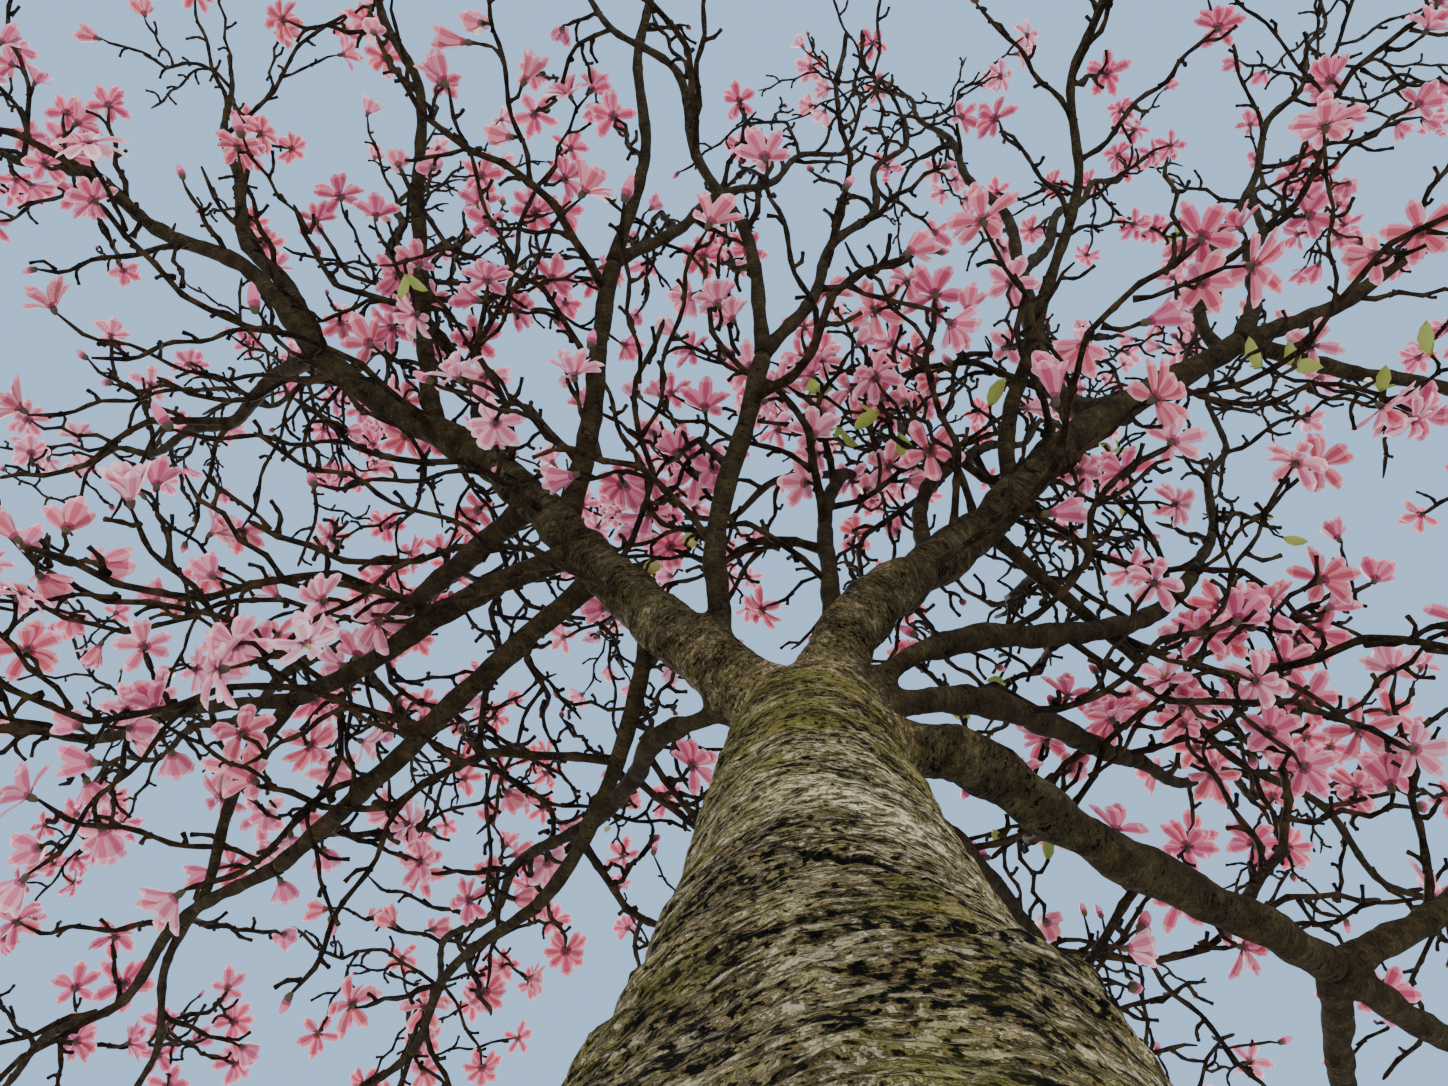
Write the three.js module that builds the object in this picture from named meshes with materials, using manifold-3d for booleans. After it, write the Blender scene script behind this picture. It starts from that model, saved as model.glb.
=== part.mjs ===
// A magnolia tree in spring blossom, about 6 m tall, built as its trunk, its limbs and its blossoming masses.
// Millimetres, +Z up. The origin is the middle of the flat cut under the trunk, at ground level.
import * as THREE from "three";
import { mergeVertices } from "three/addons/utils/BufferGeometryUtils.js";
import Module from "manifold-3d";

const wasm = await Module();
wasm.setup();

// The trunk: heights of its measured sections and the radius of each, from the root flare up to the fork
const TRUNK_HEIGHTS = [0, 130, 300, 520, 750, 890, 1060, 1290, 1600, 1880, 1960, 2010];
const TRUNK_RADII = [292, 258, 226, 200, 179, 163, 151, 141, 133, 127, 108, 66];
const TRUNK_SIDES = 20;
const ROOT_LOBES = 5; // buttresses round the foot
const ROOT_LOBE_SHARE = 0.13; // how far they stand out, as a share of the radius at the ground
const ROOT_LOBE_HEIGHT = 250; // the height over which they fade
const TRUNK_SWAY = 14; // how far the trunk's middle line bows out

// Limbs taper from their collar to their tip; every one grows out of the trunk or of another limb
const PATH_STEPS = 24;
const RINGS = 6;
const BIG_LIMB_GIRTH = 80; // above this a limb has finer rings
const BIG_LIMB_RINGS = 12;
const COLLAR_SWELL = 0.3; // extra girth where a limb leaves what carries it
const COLLAR_REACH = 1.1; // the length of that swelling, in base girths
const CLEARANCE = 0.35; // the gap left between two pieces that meet

// Blossoms and buds, a little larger than life so that few of them still fill the crown
const BLOSSOM_RADIUS = 98;
const BLOSSOM_NOTCH = 0.5; // how deep the gaps between the tepals reach, as a share of the radius
const BLOSSOM_CUP = 46; // how far the tepals' tips stand above the flower's foot
const BLOSSOM_DISH = 16;
const BLOSSOM_FOOT = 24;
const TEPALS = 6;
const BUD_RADIUS = 17;
const BUD_LENGTH = 74;

// The crown's outline: a dome, flattened below its widest level
const CROWN_MIDDLE = new THREE.Vector3(-60, -150, 2850);
const CROWN_REACH = new THREE.Vector3(3450, 3250, 3150);
const CROWN_SKIRT = 1250;

// How each order of twig grows: 0 is a mass's stem, 1 its side branches
const GROWTH = [
  { segments: 6, sides: 4, zigzag: 9, lift: 0, tip: 6 },
  { segments: 3, sides: 3, zigzag: 15, lift: 0.12, tip: 5 },
];
const SPREAD = 54; // the angle at which a side branch leaves its stem
const SIDE_LENGTH = 0.52; // a side branch's length at the stem's foot, as a share of the stem's
const SIDE_TAPER = 0.6; // how much of that length is lost towards the stem's tip
const TWIG_THINNING = 0.62; // a side branch's girth where it leaves, as a share of its stem's there
const STEM_SHARE = 0.8; // a stem's girth against that of the limb tip that it grows on from
const GOLDEN_ANGLE = 137.5; // the turn from one side branch to the next
const TRIES = 4;
const TWIG_MARGIN = 8; // the room left round every twig and flower
const LIMB_MARGIN = 12;

// Each limb: what it grows on and where (mm up the trunk, or a share of the limb), its length, its girth at both
// ends, and its heading (degrees from +X towards +Y) and rise (degrees above level) at even stations along it
const LIMBS = [
  { name: "left_bough", on: "trunk", at: 1880, length: 1810, girth: [126, 63],
    heading: [-139, -143, -133, -148, -135], rise: [22, 51, 39, 26, 17] },
  { name: "right_bough", on: "trunk", at: 1880, length: 1760, girth: [120, 56],
    heading: [-72, -12, -34, -17, -19], rise: [39, 49, 34, 31, 24] },
  { name: "low_right_bough", on: "trunk", at: 1690, length: 1030, girth: [92, 62],
    heading: [-12, 47, 34, 43], rise: [23, 8, 9, 20] },
  { name: "back_bough", on: "trunk", at: 1790, length: 1350, girth: [84, 46],
    heading: [95, 78, 99], rise: [38, 49, 40] },
  { name: "mid_right_bough", on: "trunk", at: 1830, length: 1190, girth: [60, 39],
    heading: [-23, 32, 42, 32], rise: [20, 40, 50, 54] },
  { name: "side_right_bough", on: "trunk", at: 1850, length: 1390, girth: [54, 36],
    heading: [-41, 15, 8, -26], rise: [25, 38, 49, 53] },
  { name: "over_bough", on: "trunk", at: 1880, length: 940, girth: [50, 38],
    heading: [-148, -96, -64, -71], rise: [28, 40, 32, 26] },
  { name: "centre_bough", on: "trunk", at: 1900, length: 1250, girth: [44, 32],
    heading: [-60, -86, -28], rise: [55, 70, 73] },
  { name: "back_left_bough", on: "trunk", at: 1850, length: 960, girth: [48, 36],
    heading: [-148, -238, -214], rise: [25, 53, 41] },
  { name: "back_right_bough", on: "trunk", at: 1800, length: 1020, girth: [48, 37],
    heading: [40, 62, 66], rise: [30, 39, 34] },
  { name: "upright_front", on: "left_bough", at: 0.46, length: 750, girth: [52, 41],
    heading: [-66, -82, -74], rise: [31, 29, 25] },
  { name: "left_front", on: "left_bough", at: 0.75, length: 700, girth: [46, 37],
    heading: [-101, -88, -89], rise: [30, 14, 16] },
  { name: "left_high", on: "left_bough", at: 0.69, length: 860, girth: [56, 44],
    heading: [-78, -127, -130], rise: [73, 44, 45] },
  { name: "left_side", on: "left_bough", at: 0.53, length: 870, girth: [60, 45],
    heading: [153, 155, 161], rise: [28, 36, 32] },
  { name: "left_near", on: "left_bough", at: 0.4, length: 780, girth: [54, 38],
    heading: [174, 154, 166], rise: [-21, 12, 18] },
  { name: "left_down", on: "left_bough", at: 0.35, length: 1050, girth: [48, 38],
    heading: [149, 145, 149], rise: [-21, 14, 19] },
  { name: "left_under", on: "left_bough", at: 0.24, length: 700, girth: [34, 29],
    heading: [106, 120, 138], rise: [-10, 12, 22] },
  { name: "high_right", on: "right_bough", at: 0.74, length: 960, girth: [66, 49],
    heading: [-191, -82, -75, -84], rise: [70, 61, 48, 45] },
  { name: "near_right_up", on: "right_bough", at: 0.49, length: 550, girth: [38, 32],
    heading: [-90, -59, -64], rise: [35, 22, 21] },
  { name: "near_right_down", on: "right_bough", at: 0.42, length: 500, girth: [32, 27],
    heading: [51, 47, 49], rise: [17, 6, 11] },
  { name: "centre_right", on: "right_bough", at: 0.31, length: 1080, girth: [36, 28],
    heading: [-100, -19, -9], rise: [70, 62, 65] },
  { name: "right_rise", on: "right_bough", at: 0.96, length: 500, girth: [34, 29],
    heading: [-102, -57, -50], rise: [56, 36, 30] },
];

// Each mass of blossoming twigs: the limb whose tip carries it, its stem's length, and the stem's heading and rise
// where it starts and where it ends
const MASSES = [
  { name: "blossom_left_out", on: "left_bough", length: 2150, heading: [-128, -166], rise: [14, 32] },
  { name: "blossom_left_top", on: "left_bough", length: 1950, heading: [-128, -100], rise: [32, 44] },
  { name: "blossom_left_mid", on: "left_bough", length: 1750, heading: [168, 186], rise: [40, 34] },
  { name: "blossom_right_out", on: "right_bough", length: 2150, heading: [-19, -2], rise: [20, 34] },
  { name: "blossom_right_top", on: "right_bough", length: 1850, heading: [-48, -36], rise: [50, 56] },
  { name: "blossom_right_low", on: "right_bough", length: 1850, heading: [14, 46], rise: [8, 26] },
  { name: "blossom_low_right_side", on: "low_right_bough", length: 1950, heading: [-14, 4], rise: [24, 32] },
  { name: "blossom_low_right_out", on: "low_right_bough", length: 2150, heading: [36, 28], rise: [16, 36] },
  { name: "blossom_low_right_back", on: "low_right_bough", length: 2150, heading: [74, 66], rise: [24, 36] },
  { name: "blossom_mid_right", on: "mid_right_bough", length: 2000, heading: [34, 20], rise: [48, 48] },
  { name: "blossom_side_right", on: "side_right_bough", length: 1850, heading: [-30, -62], rise: [56, 58] },
  { name: "blossom_over_left", on: "over_bough", length: 1850, heading: [-92, -132], rise: [28, 36] },
  { name: "blossom_over_right", on: "over_bough", length: 1650, heading: [-52, -62], rise: [48, 54] },
  { name: "blossom_centre_top", on: "centre_bough", length: 2500, heading: [-10, -50], rise: [74, 78] },
  { name: "blossom_centre_left", on: "centre_bough", length: 1950, heading: [176, 150], rise: [54, 60] },
  { name: "blossom_back_top", on: "back_bough", length: 2200, heading: [128, 112], rise: [62, 70] },
  { name: "blossom_back_out", on: "back_bough", length: 2050, heading: [88, 80], rise: [34, 38] },
  { name: "blossom_back_left", on: "back_left_bough", length: 2150, heading: [144, 124], rise: [42, 40] },
  { name: "blossom_back_right", on: "back_right_bough", length: 2000, heading: [62, 76], rise: [36, 50] },
  { name: "blossom_front_left", on: "upright_front", length: 1950, heading: [-72, -108], rise: [20, 34] },
  { name: "blossom_front_right", on: "upright_front", length: 1750, heading: [-44, -30], rise: [50, 56] },
  { name: "blossom_left_front", on: "left_front", length: 1850, heading: [-88, -128], rise: [16, 34] },
  { name: "blossom_left_high", on: "left_high", length: 2050, heading: [-128, -92], rise: [50, 62] },
  { name: "blossom_left_high_side", on: "left_high", length: 1850, heading: [172, 190], rise: [46, 36] },
  { name: "blossom_left_side", on: "left_side", length: 2050, heading: [158, 170], rise: [30, 38] },
  { name: "blossom_left_side_up", on: "left_side", length: 1750, heading: [112, 136], rise: [60, 62] },
  { name: "blossom_left_near", on: "left_near", length: 2050, heading: [172, 192], rise: [20, 28] },
  { name: "blossom_left_near_down", on: "left_near", length: 1650, heading: [130, 118], rise: [8, 24] },
  { name: "blossom_left_down", on: "left_down", length: 2200, heading: [152, 152], rise: [18, 26] },
  { name: "blossom_left_under", on: "left_under", length: 1950, heading: [142, 128], rise: [22, 34] },
  { name: "blossom_high_right", on: "high_right", length: 1950, heading: [-86, -106], rise: [44, 62] },
  { name: "blossom_high_right_side", on: "high_right", length: 1750, heading: [-44, -22], rise: [50, 56] },
  { name: "blossom_near_right_up", on: "near_right_up", length: 1950, heading: [-66, -82], rise: [20, 30] },
  { name: "blossom_near_right_down", on: "near_right_down", length: 1850, heading: [49, 34], rise: [12, 34] },
  { name: "blossom_centre_right", on: "centre_right", length: 2150, heading: [-8, -24], rise: [62, 70] },
  { name: "blossom_right_rise", on: "right_rise", length: 1850, heading: [-50, -44], rise: [30, 48] },
];

const UP = new THREE.Vector3(0, 0, 1);
const radians = THREE.MathUtils.degToRad;

// The colour of each kind of surface
const BARK = { color: 0x837a6b, roughness: 0.95, metalness: 0 };
const BLOSSOM = { color: 0xdf8fa8, roughness: 0.7, metalness: 0 };

// A seeded throw of the dice, between 0 and 1, that comes out alike wherever it is worked out
class Dice {
  constructor(seed) {
    this.state = (seed % 2147483646) + 1;
  }
  throw() {
    this.state = (this.state * 16807) % 2147483647;
    return this.state / 2147483647;
  }
}

// A twig's seed comes from its parent's seed and its own number on it
const childSeed = (seed, number) => (seed * 31 + 7919 * (number + 1)) % 2147483646;

// A unit vector from a heading and a rise
function towards(heading, rise) {
  const level = Math.cos(radians(rise));
  return new THREE.Vector3(
    level * Math.cos(radians(heading)),
    level * Math.sin(radians(heading)),
    Math.sin(radians(rise)),
  );
}

// The value at share t of a list of evenly spaced stations
function along(stations, t) {
  const place = t * (stations.length - 1);
  const k = Math.min(Math.floor(place), stations.length - 2);
  return stations[k] + (stations[k + 1] - stations[k]) * (place - k);
}

function pointAlong(points, t) {
  const place = t * (points.length - 1);
  const k = Math.min(Math.floor(place), points.length - 2);
  return points[k].clone().lerp(points[k + 1], place - k);
}

// A three.js geometry as a closed solid
function solidOf(geometry) {
  geometry.deleteAttribute("normal");
  geometry.deleteAttribute("uv");
  const merged = mergeVertices(geometry, 1e-3);
  return new wasm.Manifold(
    new wasm.Mesh({
      numProp: 3,
      vertProperties: new Float32Array(merged.attributes.position.array),
      triVerts: new Uint32Array(merged.index.array),
    }),
  );
}

// Moves every vertex of a unit shape to the place that a rule gives it
function reshape(geometry, place) {
  const position = geometry.attributes.position;
  const vertex = new THREE.Vector3();
  for (let i = 0; i < position.count; i++) {
    vertex.fromBufferAttribute(position, i);
    const moved = place(vertex);
    position.setXYZ(i, moved.x, moved.y, moved.z);
  }
  return geometry;
}

// A tapering tube: a cylinder bent onto a path, its section carried along without twist
function tube(points, radii, sides) {
  const rows = points.length - 1;
  const frames = [];
  let across = null;
  for (let i = 0; i <= rows; i++) {
    const ahead = points[Math.min(i + 1, rows)].clone().sub(points[Math.max(i - 1, 0)]).normalize();
    if (across === null) across = new THREE.Vector3(0.31, 0.53, 0.79);
    across.addScaledVector(ahead, -across.dot(ahead)).normalize();
    frames.push([across.clone(), across.clone().cross(ahead)]);
  }
  const bent = reshape(new THREE.CylinderGeometry(1, 1, 1, sides, rows), (v) => {
    const row = Math.round((v.y + 0.5) * rows);
    return points[row]
      .clone()
      .addScaledVector(frames[row][0], v.x * radii[row])
      .addScaledVector(frames[row][1], v.z * radii[row]);
  });
  return solidOf(bent);
}

// The trunk's radius at a height, round the angle a, with its root lobes
function trunkRadius(height, a) {
  let k = 0;
  while (k < TRUNK_HEIGHTS.length - 2 && height > TRUNK_HEIGHTS[k + 1]) k++;
  const t = (height - TRUNK_HEIGHTS[k]) / (TRUNK_HEIGHTS[k + 1] - TRUNK_HEIGHTS[k]);
  const plain = TRUNK_RADII[k] + (TRUNK_RADII[k + 1] - TRUNK_RADII[k]) * t;
  const lobes = Math.cos(ROOT_LOBES * a + 0.6) + 0.5 * Math.cos(3 * a + 2);
  return plain * (1 + ROOT_LOBE_SHARE * lobes * Math.exp(-height / ROOT_LOBE_HEIGHT));
}

// The middle line of the trunk wanders a little on its way up
function trunkMiddle(height) {
  const phase = (height / TRUNK_HEIGHTS.at(-2)) * Math.PI;
  return new THREE.Vector3(-TRUNK_SWAY * Math.sin(phase), 0.5 * TRUNK_SWAY * Math.sin(2 * phase), height);
}

function trunk(extra) {
  const rows = TRUNK_HEIGHTS.length - 1;
  const shaped = reshape(new THREE.CylinderGeometry(1, 1, 1, TRUNK_SIDES, rows), (v) => {
    const height = TRUNK_HEIGHTS[Math.round((v.y + 0.5) * rows)];
    const a = Math.atan2(-v.z, v.x);
    const reach = Math.hypot(v.x, v.z) * (trunkRadius(height, a) + extra);
    const middle = trunkMiddle(height);
    const raised = height === TRUNK_HEIGHTS.at(-1) ? extra : 0;
    return new THREE.Vector3(middle.x + reach * Math.cos(a), middle.y + reach * Math.sin(a), height + raised);
  });
  return solidOf(shaped);
}

// A limb's middle line: short steps whose heading and rise change evenly from station to station
function limbPath(limb, start) {
  const points = [start.clone()];
  for (let i = 0; i < PATH_STEPS; i++) {
    const t = (i + 0.5) / PATH_STEPS;
    const step = towards(along(limb.heading, t), along(limb.rise, t));
    points.push(points[i].clone().addScaledVector(step, limb.length / PATH_STEPS));
  }
  return points;
}

// A limb's radius at share t of its length, with the swelling of its collar
function limbRadius(limb, t) {
  const [base, tip] = limb.girth;
  const collar = 1 + COLLAR_SWELL * Math.exp(-(t * limb.length) / (COLLAR_REACH * base));
  return 0.5 * (tip + (base - tip) * (1 - t) ** 1.2) * collar;
}

function limbSides(limb) {
  if (limb.girth[0] > BIG_LIMB_GIRTH) return 8;
  return limb.girth[0] > 45 ? 6 : 5;
}

// The limb as a solid, or with some extra girth as the sleeve that cuts its neighbours clear of it
function limbSolid(limb, extra) {
  const points = [];
  const radii = [];
  const rings = limb.girth[0] > BIG_LIMB_GIRTH ? BIG_LIMB_RINGS : RINGS;
  for (let i = 0; i <= rings; i++) {
    points.push(limb.path[(i * PATH_STEPS) / rings].clone());
    radii.push(limbRadius(limb, i / rings) + extra / Math.cos(Math.PI / limbSides(limb)));
  }
  const ahead = points[rings].clone().sub(points[rings - 1]).normalize();
  points[rings].addScaledVector(ahead, extra);
  return tube(points, radii, limbSides(limb));
}

function boxesMeet(a, b) {
  const p = a.boundingBox();
  const q = b.boundingBox();
  return [0, 1, 2].every((k) => p.min[k] <= q.max[k] && q.min[k] <= p.max[k]);
}

// What is left of a solid after cutting, without loose scraps
function cutClear(solid, sleeves) {
  let left = solid;
  for (const sleeve of sleeves) {
    if (boxesMeet(left, sleeve)) left = left.subtract(sleeve);
  }
  return left.decompose().sort((a, b) => b.volume() - a.volume())[0];
}

// The distance from a point to a line of points, and how far along it the nearest place is
function distanceTo(points, p) {
  let best = Infinity;
  let share = 0;
  const rows = points.length - 1;
  for (let i = 0; i < rows; i++) {
    const ab = points[i + 1].clone().sub(points[i]);
    const t = THREE.MathUtils.clamp(p.clone().sub(points[i]).dot(ab) / ab.lengthSq(), 0, 1);
    const d = p.distanceTo(points[i].clone().addScaledVector(ab, t));
    if (d < best) {
      best = d;
      share = (i + t) / rows;
    }
  }
  return [best, share];
}

// Whether a ball is inside the crown's outline, in this mass's own space and clear of trunk and limbs
function isFree(mass, p, radius) {
  const out = p.clone().sub(CROWN_MIDDLE);
  const depth = out.z > 0 ? CROWN_REACH.z : CROWN_SKIRT;
  if (Math.hypot(out.x / CROWN_REACH.x, out.y / CROWN_REACH.y, out.z / depth) > 1) return false;
  const own = distanceTo(mass.path, p)[0];
  for (const other of MASSES) {
    if (other !== mass && distanceTo(other.path, p)[0] - own < 2 * radius + TWIG_MARGIN) return false;
  }
  for (const limb of LIMBS) {
    const [d, share] = distanceTo(limb.path, p);
    if (d < limbRadius(limb, share) + radius + LIMB_MARGIN) return false;
  }
  return p.z > TRUNK_HEIGHTS.at(-1) || Math.hypot(p.x, p.y) > TRUNK_RADII[0] + radius;
}

// A twig's middle line: it zigzags from node to node, on a course that is set for each of its segments
function twigPath(order, dice, start, course, length) {
  const { segments, zigzag, lift } = GROWTH[order];
  const points = [start.clone()];
  for (let i = 0; i < segments; i++) {
    const turn = radians(zigzag) * (i % 2 ? 1 : -1) * (0.6 + 0.8 * dice.throw());
    const ahead = course((i + 0.5) / segments);
    const side = ahead.clone().cross(UP).normalize();
    ahead.multiplyScalar(Math.cos(turn)).addScaledVector(side, Math.sin(turn));
    ahead.z += lift * (i + 1);
    points.push(points[i].clone().addScaledVector(ahead.normalize(), length / segments));
  }
  return points;
}

// The direction of a side branch: leaning out from its parent, at a bearing round it
function sideways(parentAhead, spread, bearing) {
  const first = parentAhead.clone().cross(UP).normalize();
  const second = first.clone().cross(parentAhead).normalize();
  return parentAhead
    .clone()
    .multiplyScalar(Math.cos(radians(spread)))
    .addScaledVector(first, Math.sin(radians(spread)) * Math.cos(radians(bearing)))
    .addScaledVector(second, Math.sin(radians(spread)) * Math.sin(radians(bearing)))
    .normalize();
}

// Sets a shape made round +Z on a twig's tip, facing along an axis
function setOnTip(geometry, tip, axis) {
  geometry.applyQuaternion(new THREE.Quaternion().setFromUnitVectors(UP, axis));
  return geometry.translate(tip.x, tip.y, tip.z);
}

// An open flower: a ball of twelve sides drawn out to six tepals round a shallow cup
function blossom(dice, tip, axis) {
  const tepals = [];
  for (let i = 0; i < TEPALS; i++) tepals.push(0.85 + 0.3 * dice.throw());
  const opened = 0.6 + 0.7 * dice.throw();
  const shaped = reshape(new THREE.SphereGeometry(1, 2 * TEPALS, 2), (v) => {
    if (v.y > 0.5) return new THREE.Vector3(0, 0, BLOSSOM_DISH);
    if (v.y < -0.5) return new THREE.Vector3(0, 0, -BLOSSOM_FOOT);
    const a = Math.atan2(v.x, v.z) + Math.PI;
    const k = Math.round((a / Math.PI) * TEPALS) % (2 * TEPALS);
    const isTip = k % 2 === 0;
    const reach = BLOSSOM_RADIUS * (isTip ? tepals[k / 2] : BLOSSOM_NOTCH);
    const height = BLOSSOM_CUP * (isTip ? opened : 0.7);
    return new THREE.Vector3(reach * Math.cos(a), reach * Math.sin(a), height);
  });
  return solidOf(setOnTip(shaped, tip, axis));
}

// A closed bud: an eight-sided spindle
function bud(tip, axis) {
  const shaped = reshape(new THREE.OctahedronGeometry(1), (v) =>
    new THREE.Vector3(v.x * BUD_RADIUS, v.y * BUD_RADIUS, v.z > 0 ? v.z * BUD_LENGTH : v.z * BUD_RADIUS),
  );
  return solidOf(setOnTip(shaped, tip, axis));
}

// Flowers look outwards and up, each a little its own way
function flowerAxis(dice, ahead) {
  return ahead
    .clone()
    .multiplyScalar(1.4)
    .add(new THREE.Vector3(dice.throw() - 0.5, dice.throw() - 0.5, 0.55 + dice.throw() * 0.5))
    .normalize();
}

// A side branch whose points are all free of other things, or none
function findBranch(mass, number, parentAhead, start, length, girth) {
  for (let attempt = 0; attempt < TRIES; attempt++) {
    const dice = new Dice(childSeed(mass.seed, number * TRIES + attempt));
    const bearing = GOLDEN_ANGLE * number + 360 * dice.throw() * Math.min(attempt, 1);
    const direction = sideways(parentAhead, SPREAD, bearing);
    const points = twigPath(1, dice, start, () => direction.clone(), length * (0.8 + 0.4 * dice.throw()));
    if (points.slice(1).every((p) => isFree(mass, p, girth))) return { points, dice };
  }
  return null;
}

// The flower on a twig's tip, or a bud where there is less room
function tipOf(mass, dice, points) {
  const tip = points.at(-1);
  const axis = flowerAxis(dice, tip.clone().sub(points.at(-2)).normalize());
  const middle = tip.clone().addScaledVector(axis, BLOSSOM_CUP / 2);
  return isFree(mass, middle, BLOSSOM_RADIUS * 1.15) ? blossom(dice, tip, axis) : bud(tip, axis);
}

// The radii of a twig, evenly from its girth to its tip
function twigRadii(order, points, girth) {
  const { segments, tip } = GROWTH[order];
  return points.map((_, i) => tip + (girth / 2 - tip) * (1 - i / segments));
}

// A mass: its stem, the side branches from the stem's nodes, and a flower on every tip
function massSolid(mass) {
  const stem = mass.path;
  const radii = twigRadii(0, stem, mass.girth);
  const solids = [tube(stem, radii, GROWTH[0].sides), tipOf(mass, mass.dice, stem)];
  for (let i = 1; i < stem.length - 1; i++) {
    const ahead = stem[i + 1].clone().sub(stem[i - 1]).normalize();
    const length = mass.length * SIDE_LENGTH * (1 - (SIDE_TAPER * (i - 1)) / (stem.length - 2));
    const girth = radii[i] * 2 * TWIG_THINNING;
    const branch = findBranch(mass, i, ahead, stem[i], length, girth);
    if (branch === null) continue;
    solids.push(tube(branch.points, twigRadii(1, branch.points, girth), GROWTH[1].sides));
    solids.push(tipOf(mass, branch.dice, branch.points));
  }
  return wasm.Manifold.union(solids);
}

// A stem with a little extra girth, which cuts the stems that share its limb's tip clear of it
function stemSleeve(mass) {
  const points = mass.path.map((p) => p.clone());
  const back = points[0].clone().sub(points[1]).setLength(mass.girth);
  points[0].add(back);
  const radii = twigRadii(0, points, mass.girth).map((r) => r + 2 * CLEARANCE);
  return tube(points, radii, GROWTH[0].sides);
}

function geometryOf(solid) {
  const mesh = solid.getMesh();
  const geometry = new THREE.BufferGeometry();
  geometry.setAttribute("position", new THREE.BufferAttribute(mesh.vertProperties, 3));
  geometry.setIndex(new THREE.BufferAttribute(mesh.triVerts, 1));
  geometry.computeVertexNormals();
  return geometry;
}

const group = new THREE.Group();

function addMesh(name, solid, look) {
  const mesh = new THREE.Mesh(geometryOf(solid), new THREE.MeshStandardMaterial(look));
  mesh.name = name;
  group.add(mesh);
}

// The paths of all limbs, each from its place on the trunk or on an earlier limb
const limbNamed = new Map();
for (const limb of LIMBS) {
  const parent = limbNamed.get(limb.on);
  limb.path = limbPath(limb, parent ? pointAlong(parent.path, limb.at) : trunkMiddle(limb.at));
  limbNamed.set(limb.name, limb);
}

// The stems of all masses, each on from the tip of its limb
MASSES.forEach((mass, number) => {
  const limb = limbNamed.get(mass.on);
  mass.seed = 1000 + 37 * number;
  mass.dice = new Dice(mass.seed);
  const course = (t) => towards(along(mass.heading, t), along(mass.rise, t));
  mass.path = twigPath(0, mass.dice, limb.path[PATH_STEPS], course, mass.length);
  mass.girth = limb.girth[1] * STEM_SHARE;
});

addMesh("trunk", trunk(0), BARK);
const sleeves = [trunk(CLEARANCE)];
for (const limb of LIMBS) {
  addMesh(limb.name, cutClear(limbSolid(limb, 0), sleeves), BARK);
  sleeves.push(limbSolid(limb, CLEARANCE));
}

for (const mass of MASSES) {
  addMesh(mass.name, cutClear(massSolid(mass), sleeves), BLOSSOM);
  sleeves.push(stemSleeve(mass));
}

export default group;
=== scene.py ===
# A magnolia tree in spring blossom, about 5.6 m tall, seen from its foot, with the camera looking up.
# Metres, +Z up. The origin is the middle of the flat cut under the trunk, at ground level.
import math

import bpy
import numpy as np
from mathutils import Euler, Matrix, Quaternion, Vector, noise


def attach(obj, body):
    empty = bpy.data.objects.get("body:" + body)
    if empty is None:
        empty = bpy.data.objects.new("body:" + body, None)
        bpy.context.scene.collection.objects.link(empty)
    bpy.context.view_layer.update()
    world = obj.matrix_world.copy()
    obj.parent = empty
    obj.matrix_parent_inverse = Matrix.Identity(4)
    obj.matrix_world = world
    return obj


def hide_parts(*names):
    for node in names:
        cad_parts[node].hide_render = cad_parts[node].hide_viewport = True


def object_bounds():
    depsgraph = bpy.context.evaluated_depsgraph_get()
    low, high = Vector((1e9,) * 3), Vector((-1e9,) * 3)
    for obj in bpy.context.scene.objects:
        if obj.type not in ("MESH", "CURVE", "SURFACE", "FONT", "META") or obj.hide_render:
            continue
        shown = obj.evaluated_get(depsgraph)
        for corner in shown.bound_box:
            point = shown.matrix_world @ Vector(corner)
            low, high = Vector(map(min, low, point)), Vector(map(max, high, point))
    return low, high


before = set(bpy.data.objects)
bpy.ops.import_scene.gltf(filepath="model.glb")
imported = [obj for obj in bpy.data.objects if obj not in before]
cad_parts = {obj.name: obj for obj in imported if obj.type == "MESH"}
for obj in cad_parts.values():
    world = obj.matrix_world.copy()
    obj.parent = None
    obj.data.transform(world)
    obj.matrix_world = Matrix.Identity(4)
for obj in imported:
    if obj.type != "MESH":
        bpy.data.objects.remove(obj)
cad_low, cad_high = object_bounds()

# The trunk and the fork: one stem of wood under wrinkled grey-brown bark, with a flare at the ground and an
# old graft at knee height. At its top it is grown in one with the feet of the ten limbs, with rounded
# crotches between them.

TRUNK_HEIGHTS = [0, 0.13, 0.3, 0.52, 0.75, 0.89, 1.06, 1.29, 1.6, 1.88, 1.96, 2.01]
TRUNK_RADII = [0.292, 0.258, 0.226, 0.2, 0.179, 0.163, 0.151, 0.141, 0.133, 0.127, 0.108, 0.066]
PROFILE_STEP = 0.005
PROFILE_EASING = 17  # over this many steps the profile's corners are rounded
TRUNK_SWAY = 0.014
ROOT_LOBES = 5
BROAD_LOBES = 3
ROOT_LOBE_SHARE = 0.13
ROOT_LOBE_HEIGHT = 0.25
TRUNK_SIDES = 216
TRUNK_ROW = 0.0044
TRUNK_END = 1.56  # here the trunk's own mesh ends, inside that of the fork
FORK_START = 1.5
LAP = 0.02
FORK_VOXEL = 0.0048
FORK_ROWS = 52
FORK_SIDES = 96
FOOT_SIDES = 32
FOOT_LENGTH = 0.4  # of each limb, the length that is one with the fork
FOOT_OVERLAP = 0.05
FOOT_STEP = 0.008  # how much thinner than the other each of the two is where they overlap
CROTCH_REACH = 0.1
BLEND = 0.012  # over this depth the girth and the relief pass from one limb's to the next one's
PATH_STEPS = 24
LIMB_STEP = 0.008
LIMB_TAPER = 1.2
COLLAR_SWELL = 0.3
COLLAR_REACH = 1.1

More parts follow.
